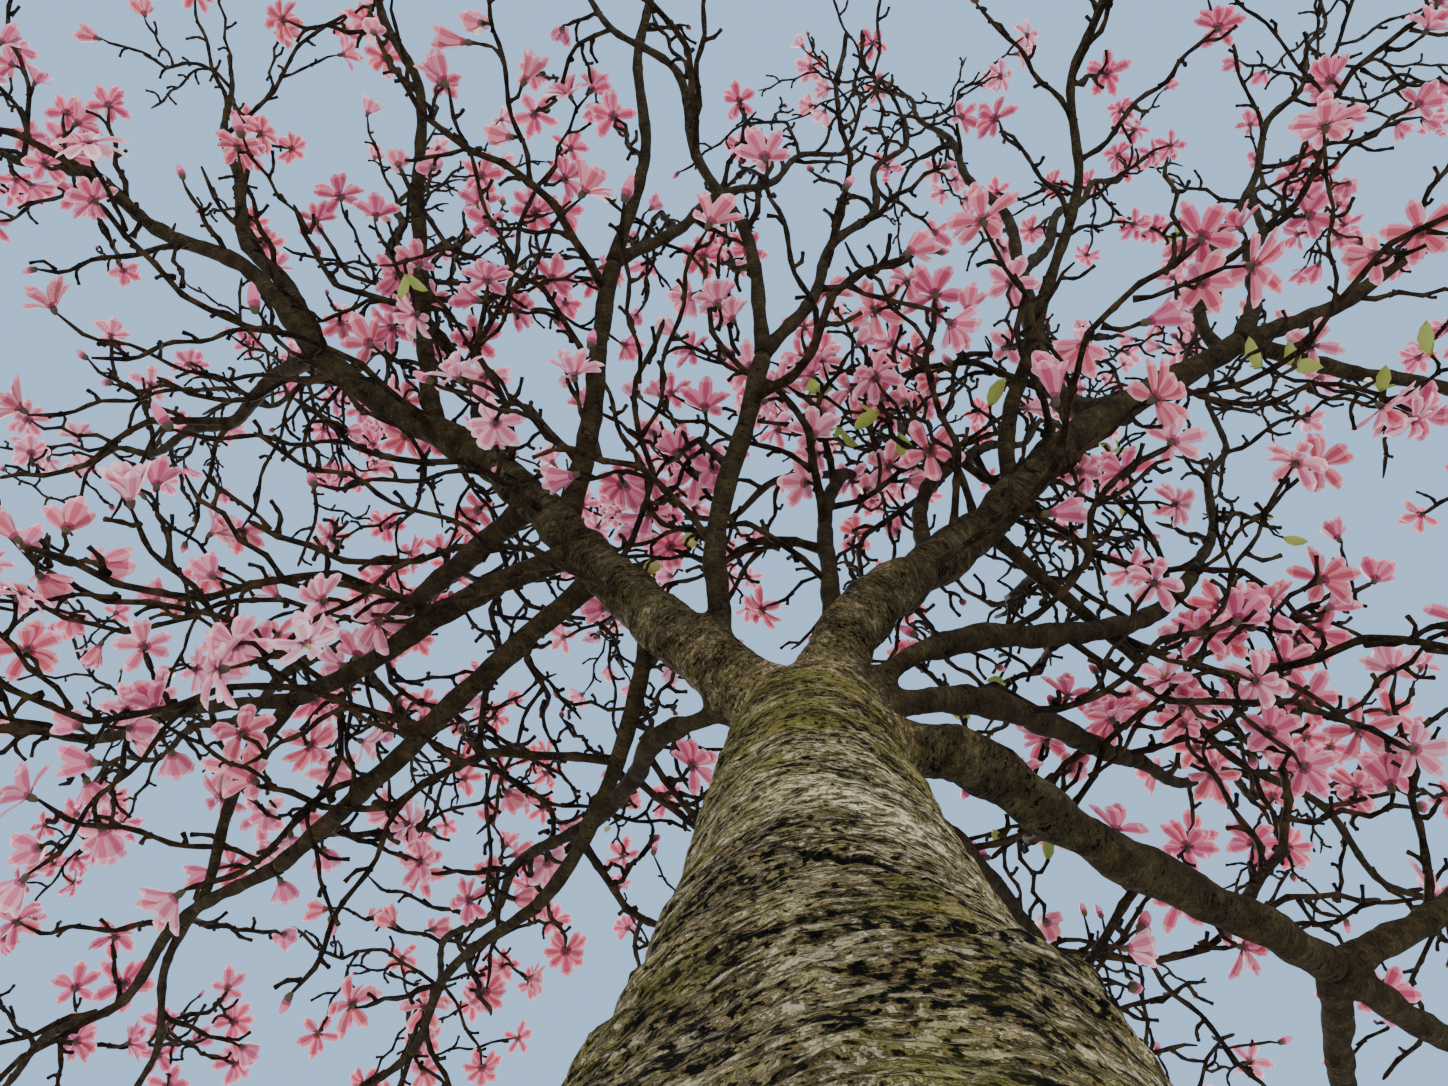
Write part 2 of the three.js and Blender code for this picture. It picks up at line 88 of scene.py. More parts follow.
# The old graft, in metres up the trunk and degrees round it from +X: a swelling that ends in a ragged
# crease, both strongest on the right, and a slanting crack above them
CREASE_HEIGHT = 0.67
CREASE_ANGLE = -92  # it is lowest here
CREASE_RISE = 0.00003  # for each square degree away from there
CREASE_MIDDLE = 0.014  # so far above the end of the swelling it is deepest
CREASE_WIDTH = 0.013
CREASE_DEPTH = 0.002
STRONG_CREASE = 0.014
STRONG_ANGLE = -58
STRONG_SPREAD = 34
SWELLING = 0.01
SWELLING_REACH = 0.16
SWELLING_BEHIND = 0.35  # its strength on the far side, beside 1 on the right
CRACK_HEIGHT = 0.855
CRACK_SLANT = 0.0023  # it falls so much for each degree
CRACK_DEPTH = 0.011
CRACK_WIDTH = 0.007
CRACK_ANGLE = -87
CRACK_SPREAD = 13
CREASE_RAGGEDNESS = 0.02
CRACK_RAGGEDNESS = 0.012
RAGGED_MARKS = 14
CRACK_ENDS = (-87, 9)  # the middle and the half width of what shows as open, and the same for the crease
CREASE_ENDS = (-64, 17)
CLEFT_REACH = 0.02
# Scars of old branches: how high, at what angle, how wide and how far out, each with a pit in its middle
SCARS = [(0.71, -54, 0.045, 0.012), (1.22, 140, 0.035, 0.009), (0.98, 40, 0.04, 0.01),
         (1.4, -165, 0.03, 0.008), (0.45, 95, 0.05, 0.012), (1.33, -20, 0.028, 0.007)]
SCAR_PIT_DEPTH = 1.2
SCAR_PIT_WIDTH = 0.38
# Patches of the trunk's bark: how high, at what angle, and how far they reach up and down and to the sides
PATCHES = {"worn": (1.04, -72, 0.15, 27), "damp": (0.74, -66, 0.09, 24)}

# Each limb: what it grows on and where (metres up the trunk, or a share of the limb), its length, its girth
# at its two ends, and its heading (degrees from +X towards +Y) and rise (degrees above level) at even
# stations along it
LIMBS = [
    ("left_bough", "trunk", 1.88, 1.81, (0.126, 0.063), (-139, -143, -133, -148, -135), (22, 51, 39, 26, 17)),
    ("right_bough", "trunk", 1.88, 1.76, (0.12, 0.056), (-72, -12, -34, -17, -19), (39, 49, 34, 31, 24)),
    ("low_right_bough", "trunk", 1.69, 1.03, (0.092, 0.062), (-12, 47, 34, 43), (23, 8, 9, 20)),
    ("back_bough", "trunk", 1.79, 1.35, (0.084, 0.046), (95, 78, 99), (38, 49, 40)),
    ("mid_right_bough", "trunk", 1.83, 1.19, (0.06, 0.039), (-23, 32, 42, 32), (20, 40, 50, 54)),
    ("side_right_bough", "trunk", 1.85, 1.39, (0.054, 0.036), (-41, 15, 8, -26), (25, 38, 49, 53)),
    ("over_bough", "trunk", 1.88, 0.94, (0.05, 0.038), (-148, -96, -64, -71), (28, 40, 32, 26)),
    ("centre_bough", "trunk", 1.9, 1.25, (0.044, 0.032), (-60, -86, -28), (55, 70, 73)),
    ("back_left_bough", "trunk", 1.85, 0.96, (0.048, 0.036), (-148, -238, -214), (25, 53, 41)),
    ("back_right_bough", "trunk", 1.8, 1.02, (0.048, 0.037), (40, 62, 66), (30, 39, 34)),
    ("upright_front", "left_bough", 0.46, 0.75, (0.052, 0.041), (-66, -82, -74), (31, 29, 25)),
    ("left_front", "left_bough", 0.75, 0.7, (0.046, 0.037), (-101, -88, -89), (30, 14, 16)),
    ("left_high", "left_bough", 0.69, 0.86, (0.056, 0.044), (-78, -127, -130), (73, 44, 45)),
    ("left_side", "left_bough", 0.53, 0.87, (0.06, 0.045), (153, 155, 161), (28, 36, 32)),
    ("left_near", "left_bough", 0.4, 0.78, (0.054, 0.038), (174, 154, 166), (-21, 12, 18)),
    ("left_down", "left_bough", 0.35, 1.05, (0.048, 0.038), (149, 145, 149), (-21, 14, 19)),
    ("left_under", "left_bough", 0.24, 0.7, (0.034, 0.029), (106, 120, 138), (-10, 12, 22)),
    ("high_right", "right_bough", 0.74, 0.96, (0.066, 0.049), (-191, -82, -75, -84), (70, 61, 48, 45)),
    ("near_right_up", "right_bough", 0.49, 0.55, (0.038, 0.032), (-90, -59, -64), (35, 22, 21)),
    ("near_right_down", "right_bough", 0.42, 0.5, (0.032, 0.027), (51, 47, 49), (17, 6, 11)),
    ("centre_right", "right_bough", 0.31, 1.08, (0.036, 0.028), (-100, -19, -9), (70, 62, 65)),
    ("right_rise", "right_bough", 0.96, 0.5, (0.034, 0.029), (-102, -57, -50), (56, 36, 30)),
]
LIMB_NAMES = [limb[0] for limb in LIMBS]


def towards(heading, rise):
    level = math.cos(math.radians(rise))
    return Vector((level * math.cos(math.radians(heading)), level * math.sin(math.radians(heading)),
                   math.sin(math.radians(rise))))


def station(stations, t):
    return float(np.interp(t, np.linspace(0, 1, len(stations)), stations))


def point_along(points, t):
    place = t * (len(points) - 1)
    k = min(int(place), len(points) - 2)
    return points[k].lerp(points[k + 1], place - k)


def trunk_middle(height):
    phase = height / TRUNK_HEIGHTS[-2] * math.pi
    return Vector((-TRUNK_SWAY * math.sin(phase), 0.5 * TRUNK_SWAY * math.sin(2 * phase), height))


def trunk_radius(heights, angles):
    """The radius at heights and round the angles, with the profile's corners eased and the root lobes."""
    fine = np.arange(-0.1, 2.2, PROFILE_STEP)
    plain = np.pad(np.interp(fine, TRUNK_HEIGHTS, TRUNK_RADII), PROFILE_EASING // 2, mode="edge")
    eased = np.convolve(plain, np.full(PROFILE_EASING, 1 / PROFILE_EASING), mode="valid")
    lobes = np.cos(ROOT_LOBES * angles + 0.6) + 0.5 * np.cos(BROAD_LOBES * angles + 2)
    flare = 1 + ROOT_LOBE_SHARE * lobes * np.exp(-heights / ROOT_LOBE_HEIGHT)
    return np.interp(heights, fine, eased) * flare


def limb_radius(limb, t):
    base, tip = limb[4]
    collar = 1 + COLLAR_SWELL * np.exp(-t * limb[3] / (COLLAR_REACH * base))
    return 0.5 * (tip + (base - tip) * (1 - t) ** LIMB_TAPER) * collar


def smooth_line(points, spacing):
    """A smooth line through points, at about even steps."""
    points = np.array([tuple(p) for p in points])
    padded = np.vstack([2 * points[0] - points[1], points, 2 * points[-1] - points[-2]])
    pieces = []
    for k in range(len(points) - 1):
        p0, p1, p2, p3 = padded[k:k + 4]
        count = max(1, round(float(np.linalg.norm(p2 - p1)) / spacing))
        t = (np.arange(count) / count)[:, None]
        pieces.append(0.5 * (2 * p1 + (p2 - p0) * t + (2 * p0 - 5 * p1 + 4 * p2 - p3) * t ** 2
                             + (3 * p1 - p0 - 3 * p2 + p3) * t ** 3))
    return np.vstack(pieces + [points[-1:]])


def frames_along(points):
    """Two directions across a line at each of its points, carried along without twist."""
    ahead = np.gradient(points, axis=0)
    ahead /= np.linalg.norm(ahead, axis=1)[:, None]
    # the first direction starts out as any one that no limb follows
    across = np.array([0.31, 0.53, 0.79])
    firsts = []
    for a in ahead:
        across = across - a * across.dot(a)
        across = across / np.linalg.norm(across)
        firsts.append(across)
    firsts = np.array(firsts)
    return firsts, np.cross(ahead, firsts)


def ring_faces(rows, sides):
    """The faces of a tube of rings, closed by a point at each end, which are its last two points."""
    faces = []
    for i in range(rows - 1):
        for j in range(sides):
            k = (j + 1) % sides
            faces.append((i * sides + j, i * sides + k, (i + 1) * sides + k, (i + 1) * sides + j))
    first, last = rows * sides, rows * sides + 1
    for j in range(sides):
        k = (j + 1) % sides
        faces.append((first, k, j))
        faces.append((last, (rows - 1) * sides + j, (rows - 1) * sides + k))
    return faces


def tube(line, radii, sides, frames, way):
    """A closed tube round a line: its points, faces, grain (the place across and along) and ways outward."""
    turn = np.arange(sides) / sides * 2 * np.pi
    firsts, seconds = frames
    offsets = firsts[:, None] * np.cos(turn)[None, :, None] + seconds[:, None] * np.sin(turn)[None, :, None]
    rings = line[:, None] + offsets * radii[:, None, None]
    points = np.vstack([rings.reshape(-1, 3), line[:1], line[-1:]])
    grain = np.zeros((len(line), sides, 3))
    grain[:, :, 0] = radii[:, None] * np.cos(turn)[None]
    grain[:, :, 1] = radii[:, None] * np.sin(turn)[None]
    grain[:, :, 2] = way[:, None]
    grain = np.vstack([grain.reshape(-1, 3), [[0, 0, way[0]]], [[0, 0, way[-1]]]])
    ends = np.array([line[0] - line[1], line[-1] - line[-2]])
    outward = np.vstack([offsets.reshape(-1, 3), ends / np.linalg.norm(ends, axis=1)[:, None]])
    return points, ring_faces(len(line), sides), grain, outward


def mesh_object(name, points, faces):
    mesh = bpy.data.meshes.new(name)
    mesh.from_pydata([tuple(p) for p in points], [], faces)
    made = bpy.data.objects.new(name, mesh)
    bpy.context.scene.collection.objects.link(made)
    return made


def as_plain_mesh(made):
    """Turns an object with modifiers into the plain mesh that they make."""
    evaluated = made.evaluated_get(bpy.context.evaluated_depsgraph_get())
    mesh = bpy.data.meshes.new_from_object(evaluated)
    made.modifiers.clear()
    made.data = mesh
    return made


def store(mesh, name, kind, values):
    mesh.attributes.new(name, kind, "POINT").data.foreach_set(
        {"FLOAT": "value", "INT": "value", "FLOAT_VECTOR": "vector", "QUATERNION": "value"}[kind],
        np.ascontiguousarray(values, np.int32 if kind == "INT" else np.float32).ravel())


def shade_smooth(mesh):
    mesh.polygons.foreach_set("use_smooth", np.ones(len(mesh.polygons), bool))


# The bark's relief: for each kind of mark how many go to a metre across and along the wood, and a shift
# across that keeps it from lining up with the others
MARKS = {"flute": (6, 1.5, 0, 0), "swelling": (9, 7, 4, 0), "knot": (21, 16, 0, 3), "ring": (6, 42, 0, 7),
         "wrinkle": (24, 115, 0, 5), "lump": (62, 85, 9, 0)}
# How far each stands out, as a share of the wood's radius
FLUTE_DEPTH = 0.055
SWELLING_DEPTH = 0.035
FLUTED_RADIUS = 0.12  # from here on flutes and swellings grow no deeper
RING_DEPTH = 0.016
WRINKLE_DEPTH = 0.018
KNOT_DEPTH = 0.25
KNOT_FADING = 0.0006  # on thick wood a knot stands out by this over the radius
LUMP_DEPTH = 0.04
LUMP_LIMIT = 0.0026


def relief(grain, radius):
    """How far the bark stands out: flutes along the wood, swellings, knots, rings, wrinkles and lumps."""
    out = np.zeros(len(grain))
    for i, ((x, y, z), r) in enumerate(zip(grain.tolist(), radius.tolist())):
        flute, swelling, knot, ring, wrinkle, lump = [
            noise.noise((x * across + shift_x, y * across + shift_y, z * along))
            for across, along, shift_x, shift_y in MARKS.values()]
        out[i] = (min(r, FLUTED_RADIUS) * (FLUTE_DEPTH * flute + SWELLING_DEPTH * swelling)
                  + r * (RING_DEPTH * ring + WRINKLE_DEPTH * wrinkle)
                  + min(KNOT_DEPTH * r, KNOT_FADING / r) * knot + min(LUMP_LIMIT, LUMP_DEPTH * r) * lump)
    return out


limb_paths = {}
for name, on, at, length, _, headings, rises in LIMBS:
    points = [point_along(limb_paths[on], at) if on in limb_paths else trunk_middle(at)]
    for i in range(PATH_STEPS):
        t = (i + 0.5) / PATH_STEPS
        points.append(points[-1] + towards(station(headings, t), station(rises, t)) * (length / PATH_STEPS))
    limb_paths[name] = points

limb_lines = {name: smooth_line(points, LIMB_STEP) for name, points in limb_paths.items()}


def trunk_rings(rows, sides, thinner):
    """Rings round the trunk's middle line, as thick as it or a little thinner, and their ways outward."""
    turns = np.arange(sides) / sides * 2 * np.pi
    middles = np.array([tuple(trunk_middle(h)) for h in rows])
    outward = np.stack([np.cos(turns), np.sin(turns), np.zeros(sides)], 1)
    reach = trunk_radius(rows[:, None], turns[None, :]) - thinner[:, None]
    rings = middles[:, None] + outward[None] * reach[..., None]
    points = np.vstack([rings.reshape(-1, 3), middles[:1], middles[-1:]])
    return points, middles, np.tile(outward, (len(rows), 1))


# The trunk's own mesh, fine enough for its wrinkles
rows = np.linspace(0, TRUNK_END, round(TRUNK_END / TRUNK_ROW) + 1)
thinner = FOOT_STEP * np.clip((rows - FORK_START - LAP) / LAP, 0, 1)
points, middles, outward = trunk_rings(rows, TRUNK_SIDES, thinner)
girth = np.repeat(np.interp(rows, TRUNK_HEIGHTS, TRUNK_RADII), TRUNK_SIDES)
shell = points[:-2]
around = np.degrees(np.arctan2(shell[:, 1], shell[:, 0]))
ragged = np.array([noise.noise((x * RAGGED_MARKS, y * RAGGED_MARKS, 3)) for x, y in shell[:, :2].tolist()])
crease_height = CREASE_HEIGHT + CREASE_RISE * (around - CREASE_ANGLE) ** 2 + CREASE_RAGGEDNESS * ragged
above = shell[:, 2] - crease_height
strong = np.exp(-((around - STRONG_ANGLE) / STRONG_SPREAD) ** 2)
graft = np.where(above < 0, SWELLING * np.exp(above / SWELLING_REACH) * (SWELLING_BEHIND + strong), 0)
graft -= (CREASE_DEPTH + STRONG_CREASE * strong) * np.exp(-((above - CREASE_MIDDLE) / CREASE_WIDTH) ** 2)
above_crack = (shell[:, 2] - CRACK_HEIGHT + CRACK_SLANT * (around - CREASE_ANGLE)
               + CRACK_RAGGEDNESS * ragged)
beside_crack = (around - CRACK_ANGLE) / CRACK_SPREAD
graft -= CRACK_DEPTH * np.exp(-(above_crack / CRACK_WIDTH) ** 2 - beside_crack ** 2)
scars = np.zeros(len(shell))
for height, angle, wide, out in SCARS:
    beside = (around - angle + 180) % 360 - 180
    away = np.hypot(shell[:, 2] - height, np.radians(beside) * girth) / wide
    scars += out * (np.exp(-away ** 2) - SCAR_PIT_DEPTH * np.exp(-(away / SCAR_PIT_WIDTH) ** 2))
grain = points.copy()
points[:-2] += outward * (relief(shell, girth) + graft + scars)[:, None]
trunk = mesh_object("trunk_wood", points, ring_faces(len(rows), TRUNK_SIDES))
store(trunk.data, "grain", "FLOAT_VECTOR", grain)
store(trunk.data, "girth", "FLOAT", np.concatenate([girth, girth[:1], girth[-1:]]))
# how near each point is to the crease and the crack: 1 in them, and 0 from a little way off; the bark paints
# shade in them by it
clefts = []
for over, (middle, half) in ((above_crack, CRACK_ENDS), (above - CREASE_MIDDLE, CREASE_ENDS)):
    beside = np.maximum(np.abs(around - middle) - half, 0) * math.radians(1) * girth
    clefts.append(np.clip(1 - np.hypot(over, beside) / CLEFT_REACH, 0, 1))
store(trunk.data, "cleft", "FLOAT", np.concatenate([np.maximum(*clefts), [0, 0]]))
# how much of its wrinkles it has lost above the crack, and how damp it is between the crack and the crease
for patch, (height, angle, tall, wide) in PATCHES.items():
    share = np.exp(-((shell[:, 2] - height) / tall) ** 2 - ((around - angle) / wide) ** 2)
    store(trunk.data, patch, "FLOAT", np.concatenate([share, [0, 0]]))
shade_smooth(trunk.data)

# The fork: the top of the trunk and the feet of its limbs, melted into one skin and eased where they meet
rows = np.linspace(FORK_START, TRUNK_HEIGHTS[-1], FORK_ROWS)
thinner = FOOT_STEP * np.clip(1 - (rows - FORK_START) / LAP, 0, 1)
points, middles, _ = trunk_rings(rows, FORK_SIDES, thinner)
fork_points = [points]
fork_faces = ring_faces(len(rows), FORK_SIDES)

# the skeleton that each point of the fork belongs to: the trunk's own line, and the line of each limb's foot
skeletons = [(middles, np.interp(rows, TRUNK_HEIGHTS, TRUNK_RADII), None)]
for limb in LIMBS:
    if limb[1] != "trunk":
        continue
    line = limb_lines[limb[0]]
    way = np.arange(len(line)) / (len(line) - 1)
    radii = limb_radius(limb, way)
    frames = frames_along(line)
    skeletons.append((line, radii, frames))
    way = way * limb[3]
    foot = way <= FOOT_LENGTH
    thinned = radii - FOOT_STEP * np.clip((way - FOOT_LENGTH + FOOT_OVERLAP) / FOOT_OVERLAP, 0, 1)
    points, faces, _, _ = tube(line[foot], thinned[foot], FOOT_SIDES, [f[foot] for f in frames], way[foot])
    offset = sum(len(p) for p in fork_points)
    fork_points.append(points)
    fork_faces += [tuple(v + offset for v in f) for f in faces]

fork = mesh_object("fork_wood", np.vstack(fork_points), fork_faces)
remesh = fork.modifiers.new("grown in one", "REMESH")
remesh.mode = "VOXEL"
remesh.voxel_size = FORK_VOXEL
as_plain_mesh(fork)


def read_points(mesh):
    flat = np.zeros(len(mesh.vertices) * 3, np.float32)
    mesh.vertices.foreach_get("co", flat)
    return flat.reshape(-1, 3).astype(float)


def eased(points, edges, weight, times):
    """Points drawn towards the mean of their neighbours, each by its weight."""
    count = len(points)
    ends = np.concatenate([edges, edges[:, ::-1]])
    valence = np.bincount(ends[:, 0], minlength=count)
    for _ in range(times):
        mean = np.stack([np.bincount(ends[:, 0], points[ends[:, 1], k], count) for k in range(3)], 1)
        points = points + (mean / valence[:, None] - points) * weight[:, None]
    return points


def depths(points):
    """For each skeleton how far each point stands out of its surface, and its nearest place on the line."""
    outs, places = [], []
    for line, radii, _ in skeletons:
        nearest = np.zeros(len(points), int)
        far = np.full(len(points), np.inf)
        # every other point of a line is near enough
        for k in range(0, len(line), 2):
            d = np.einsum("ij,ij->i", points - line[k], points - line[k])
            closer = d < far
            far[closer] = d[closer]
            nearest[closer] = k
        outs.append(np.sqrt(far) - radii[nearest])
        places.append(nearest)
    return np.array(outs), np.array(places)


points = read_points(fork.data)
edges = np.zeros(len(fork.data.edges) * 2, np.int32)
fork.data.edges.foreach_get("vertices", edges)
edges = edges.reshape(-1, 2)
outs, places = depths(points)
two = np.sort(outs, axis=0)[:2]
crotch = np.clip(1 - (two[1] - two[0]) / CROTCH_REACH, 0, 1)
# the ends of the feet keep their thickness, because the limbs go on from them
for number, (line, _, frames) in enumerate(skeletons):
    if frames is not None:
        mine = outs.argmin(0) == number
        way = places[number][mine] * np.linalg.norm(line[1] - line[0])
        crotch[mine] *= np.clip((FOOT_LENGTH - FOOT_OVERLAP - way) / FOOT_OVERLAP - 0.5, 0, 1)
# a few light passes melt the steps of the voxels away, and many strong ones round the crotches
points = eased(points, edges, np.full(len(points), 0.25), 6)
points = eased(points, edges, 0.8 * crotch, 130)

# The grain of the trunk is its own place, and that of a foot is measured across and along the limb. Each
# point takes the grain of what it belongs to most, while girth and relief pass over gently.
weights = np.exp(-(outs - outs.min(0)) / BLEND)
weights /= weights.sum(0)
grain = np.zeros_like(points)
girth = np.zeros(len(points))
stands_out = np.zeros(len(points))
for (line, radii, frames), weight, place in zip(skeletons, weights, places):
    if frames is None:
        local = points.copy()
    else:
        first, second = frames[0][place], frames[1][place]
        way = np.concatenate([[0], np.cumsum(np.linalg.norm(np.diff(line, axis=0), axis=1))])
        off = points - line[place]
        sideways_off = [np.einsum("ij,ij->i", off, direction) for direction in (first, second)]
        local = np.stack([*sideways_off, way[place] + np.einsum("ij,ij->i", off, np.cross(first, second))], 1)
    most = weight == weights.max(0)
    grain[most] = local[most]
    girth += radii[place] * weight
    near = weight > 0.01
    stands_out[near] += weight[near] * relief(local[near], radii[place][near])

fork.data.vertices.foreach_set("co", points.astype(np.float32).ravel())
fork.data.update()
normals = np.zeros(len(points) * 3, np.float32)
fork.data.vertices.foreach_get("normal", normals)
points = points + normals.reshape(-1, 3) * stands_out[:, None]
fork.data.vertices.foreach_set("co", points.astype(np.float32).ravel())
store(fork.data, "grain", "FLOAT_VECTOR", grain)
store(fork.data, "girth", "FLOAT", girth)
shade_smooth(fork.data)


def hex_colour(code, alpha=1.0):
    """An sRGB hex colour as Blender's linear one."""
    parts = [int(code[i:i + 2], 16) / 255 for i in (1, 3, 5)]
    return tuple(c / 12.92 if c <= 0.04045 else ((c + 0.055) / 1.055) ** 2.4 for c in parts) + (alpha,)


def add_node(tree, kind, inputs=None, **settings):
    """Adds a node with its settings. Its inputs are values, or sockets that are linked to it."""
    made = tree.nodes.new(kind)
    for key, value in settings.items():
        setattr(made, key, value)
    for key, value in (inputs or {}).items():
        if isinstance(value, bpy.types.NodeSocket):
            tree.links.new(value, made.inputs[key])
        else:
            made.inputs[key].default_value = value
    return made


def new_material(name):
    material = bpy.data.materials.new(name)
    material.use_nodes = True
    tree = material.node_tree
    shader = tree.nodes["Principled BSDF"]
    return material, tree, shader


def set_ramp(ramp, stops):
    while len(ramp.elements) < len(stops):
        ramp.elements.new(0.5)
    for element, (place, colour) in zip(ramp.elements, stops):
        element.position = place
        element.color = hex_colour(colour) if isinstance(colour, str) else (colour, colour, colour, 1)


# Magnolia bark: thin, grey-brown, hard and dull, wrinkled round the stem into short pale ridges with pits
# between them. Painted shade darkens the pits, and a painted highlight partly pales the ridges. It is paler
# where it is worn, and mossy where the rain runs down from the fork, with painted shade there too.
COLOUR_A, COLOUR_B, MIXED = 6, 7, 2  # the inputs and the output of a Mix node that mixes colours
LINEAR, SOFT = "LINEAR", "SMOOTHSTEP"
DRIFT = 0.007  # so far, in metres, the layers wander from straight rings and lines

bark, tree, shader = new_material("magnolia_bark")
shader.inputs["Roughness"].default_value = 0.9
shader.inputs["Specular IOR Level"].default_value = 0.08
on_tree = add_node(tree, "ShaderNodeTexCoord").outputs["Object"]
spot = add_node(tree, "ShaderNodeSeparateXYZ", {"Vector": on_tree})
place = add_node(tree, "ShaderNodeAttribute", attribute_name="grain").outputs["Vector"]
thickness, worn, cleft, damp = [add_node(tree, "ShaderNodeAttribute", attribute_name=name).outputs["Fac"]
                                for name in ("girth", "worn", "cleft", "damp")]
drift = add_node(tree, "ShaderNodeTexNoise", {"Vector": place, "Scale": 18.0, "Detail": 2.0}).outputs["Color"]
bent = add_node(tree, "ShaderNodeVectorMath", {0: drift, 1: (DRIFT, DRIFT, DRIFT), 2: place},
                operation="MULTIPLY_ADD").outputs[0]
# Layers of the wrinkling, each with how many of its marks go to a metre across and along the stem: patches
# a hand wide, rings where it grew faster, lumps of 10 by 6 mm, their broken edges, lines 50 mm long,
# blotches and grit
layers = {}
for layer, marks, detail, roughness in (
        ("patch", (8, 8, 11), 4.0, 0.6),
        ("ring", (7, 7, 34), 3.0, 0.6),
        ("lump", (95, 95, 165), 3.0, 0.62),
        ("edge", (230, 230, 330), 2.0, 0.6),
        ("line", (20, 20, 150), 3.0, 0.55),
        ("blotch", (60, 60, 110), 3.0, 0.6),
        ("grit", (420, 420, 520), 2.0, 0.7),
        ("moss", (10, 10, 13), 6.0, 0.68),
        ("mottle", (24, 24, 30), 5.0, 0.7)):
    way = add_node(tree, "ShaderNodeVectorMath", {0: bent, 1: marks}, operation="MULTIPLY").outputs[0]
    layers[layer] = add_node(tree, "ShaderNodeTexNoise", {
        "Vector": way, "Scale": 1.0, "Detail": detail, "Roughness": roughness}).outputs["Fac"]
# How strongly each thing shows: what it goes by, two values of that, how strong it is at each, and whether
# it passes from one to the other softly
masks = {}
for mask, source, low, high, at_low, at_high, passing in (
        ("old", thickness, 0.04, 0.125, 0.0, 1.0, SOFT),
        ("rough", layers["patch"], 0.4, 0.6, 0.03, -0.055, SOFT),
        ("weather", layers["patch"], 0.36, 0.62, 1.2, 0.68, LINEAR),
        ("smooth_young", thickness, 0.025, 0.115, 0.09, 0.0, LINEAR),
        ("seam_shade", thickness, 0.05, 0.12, 0.8, 0.3, LINEAR),
        ("welt", layers["line"], 0.55, 0.66, 0.0, 0.85, SOFT),
        ("speckle", layers["grit"], 0.38, 0.6, 0.45, 1.1, LINEAR),
        ("lichen", layers["moss"], 0.5, 0.6, 0.0, 0.45, LINEAR),
        ("mottling", thickness, 0.03, 0.07, 0.3, 1.0, LINEAR),
        ("faintness", thickness, 0.038, 0.085, 0.05, 0.6, LINEAR),
        # under the fork and on the left the moss grows thicker, partly as painted shade
        ("moss_and_shade_under_fork", spot.outputs["Z"], 0.95, 1.6, 0.0, 0.16, LINEAR),
        ("moss_and_shade_on_left", spot.outputs["X"], -0.16, 0.0, 0.035, 0.0, LINEAR),
        ("off_young", thickness, 0.05, 0.13, -0.28, 0.0, LINEAR)):
    masks[mask] = add_node(tree, "ShaderNodeMapRange", {
        "Value": source, "From Min": low, "From Max": high, "To Min": at_low, "To Max": at_high},
        interpolation_type=passing).outputs["Result"]
# the level of the bark: lumps with broken edges on rings, deeper in rough patches and fuller where it is worn
level = layers["lump"]
for what, share in ((layers["edge"], 0.35), (layers["ring"], 0.35), (masks["rough"], 1.0), (worn, 0.075)):
    level = add_node(tree, "ShaderNodeMath", {0: what, 1: share, 2: level},
                     operation="MULTIPLY_ADD").outputs[0]
pit_level = add_node(tree, "ShaderNodeMath", {0: level, 1: masks["smooth_young"]}, operation="ADD").outputs[0]
# the clefts of the graft have ragged edges, and painted shade darkens them
ragged_cleft = add_node(tree, "ShaderNodeMath", {0: layers["lump"], 1: 0.8, 2: cleft},
                        operation="MULTIPLY_ADD").outputs[0]
for mask, source, low, high, at_low, at_high in (
        ("pit", pit_level, 0.72, 0.81, 0.0, 1.0),
        ("seam", layers["line"], 0.37, 0.45, masks["seam_shade"], 1.0),
        ("ridge", level, 0.87, 0.96, 0.0, 1.0),
        ("shut", ragged_cleft, 0.82, 0.98, 1.0, 0.02)):
    masks[mask] = add_node(tree, "ShaderNodeMapRange", {
        "Value": source, "From Min": low, "From Max": high, "To Min": at_low, "To Max": at_high},
        interpolation_type=SOFT).outputs["Result"]
ridge = add_node(tree, "ShaderNodeMath", {0: masks["ridge"], 1: masks["welt"]},
                 operation="MAXIMUM").outputs[0]
# the old bark: brown to buff, with pale speckled ridges whose paleness is partly a painted highlight
mixed = add_node(tree, "ShaderNodeMath", {0: layers["grit"], 1: 0.3, 2: layers["blotch"]},
                 operation="MULTIPLY_ADD").outputs[0]
tint = add_node(tree, "ShaderNodeValToRGB", {"Fac": mixed})
set_ramp(tint.color_ramp, [(0.5, "#43351b"), (0.66, "#826e44"), (0.8, "#ab9968")])
paleness = add_node(tree, "ShaderNodeMath", {0: worn, 1: 0.35, 2: 0.62}, operation="MULTIPLY_ADD").outputs[0]
pale = add_node(tree, "ShaderNodeMath", {0: ridge, 1: paleness}, operation="MULTIPLY").outputs[0]
pale = add_node(tree, "ShaderNodeMath", {0: pale, 1: masks["speckle"]}, operation="MULTIPLY").outputs[0]
buff = add_node(tree, "ShaderNodeMix", {
    "Factor": pale, COLOUR_A: tint.outputs["Color"], COLOUR_B: hex_colour("#dccca6")},
    data_type="RGBA").outputs[MIXED]
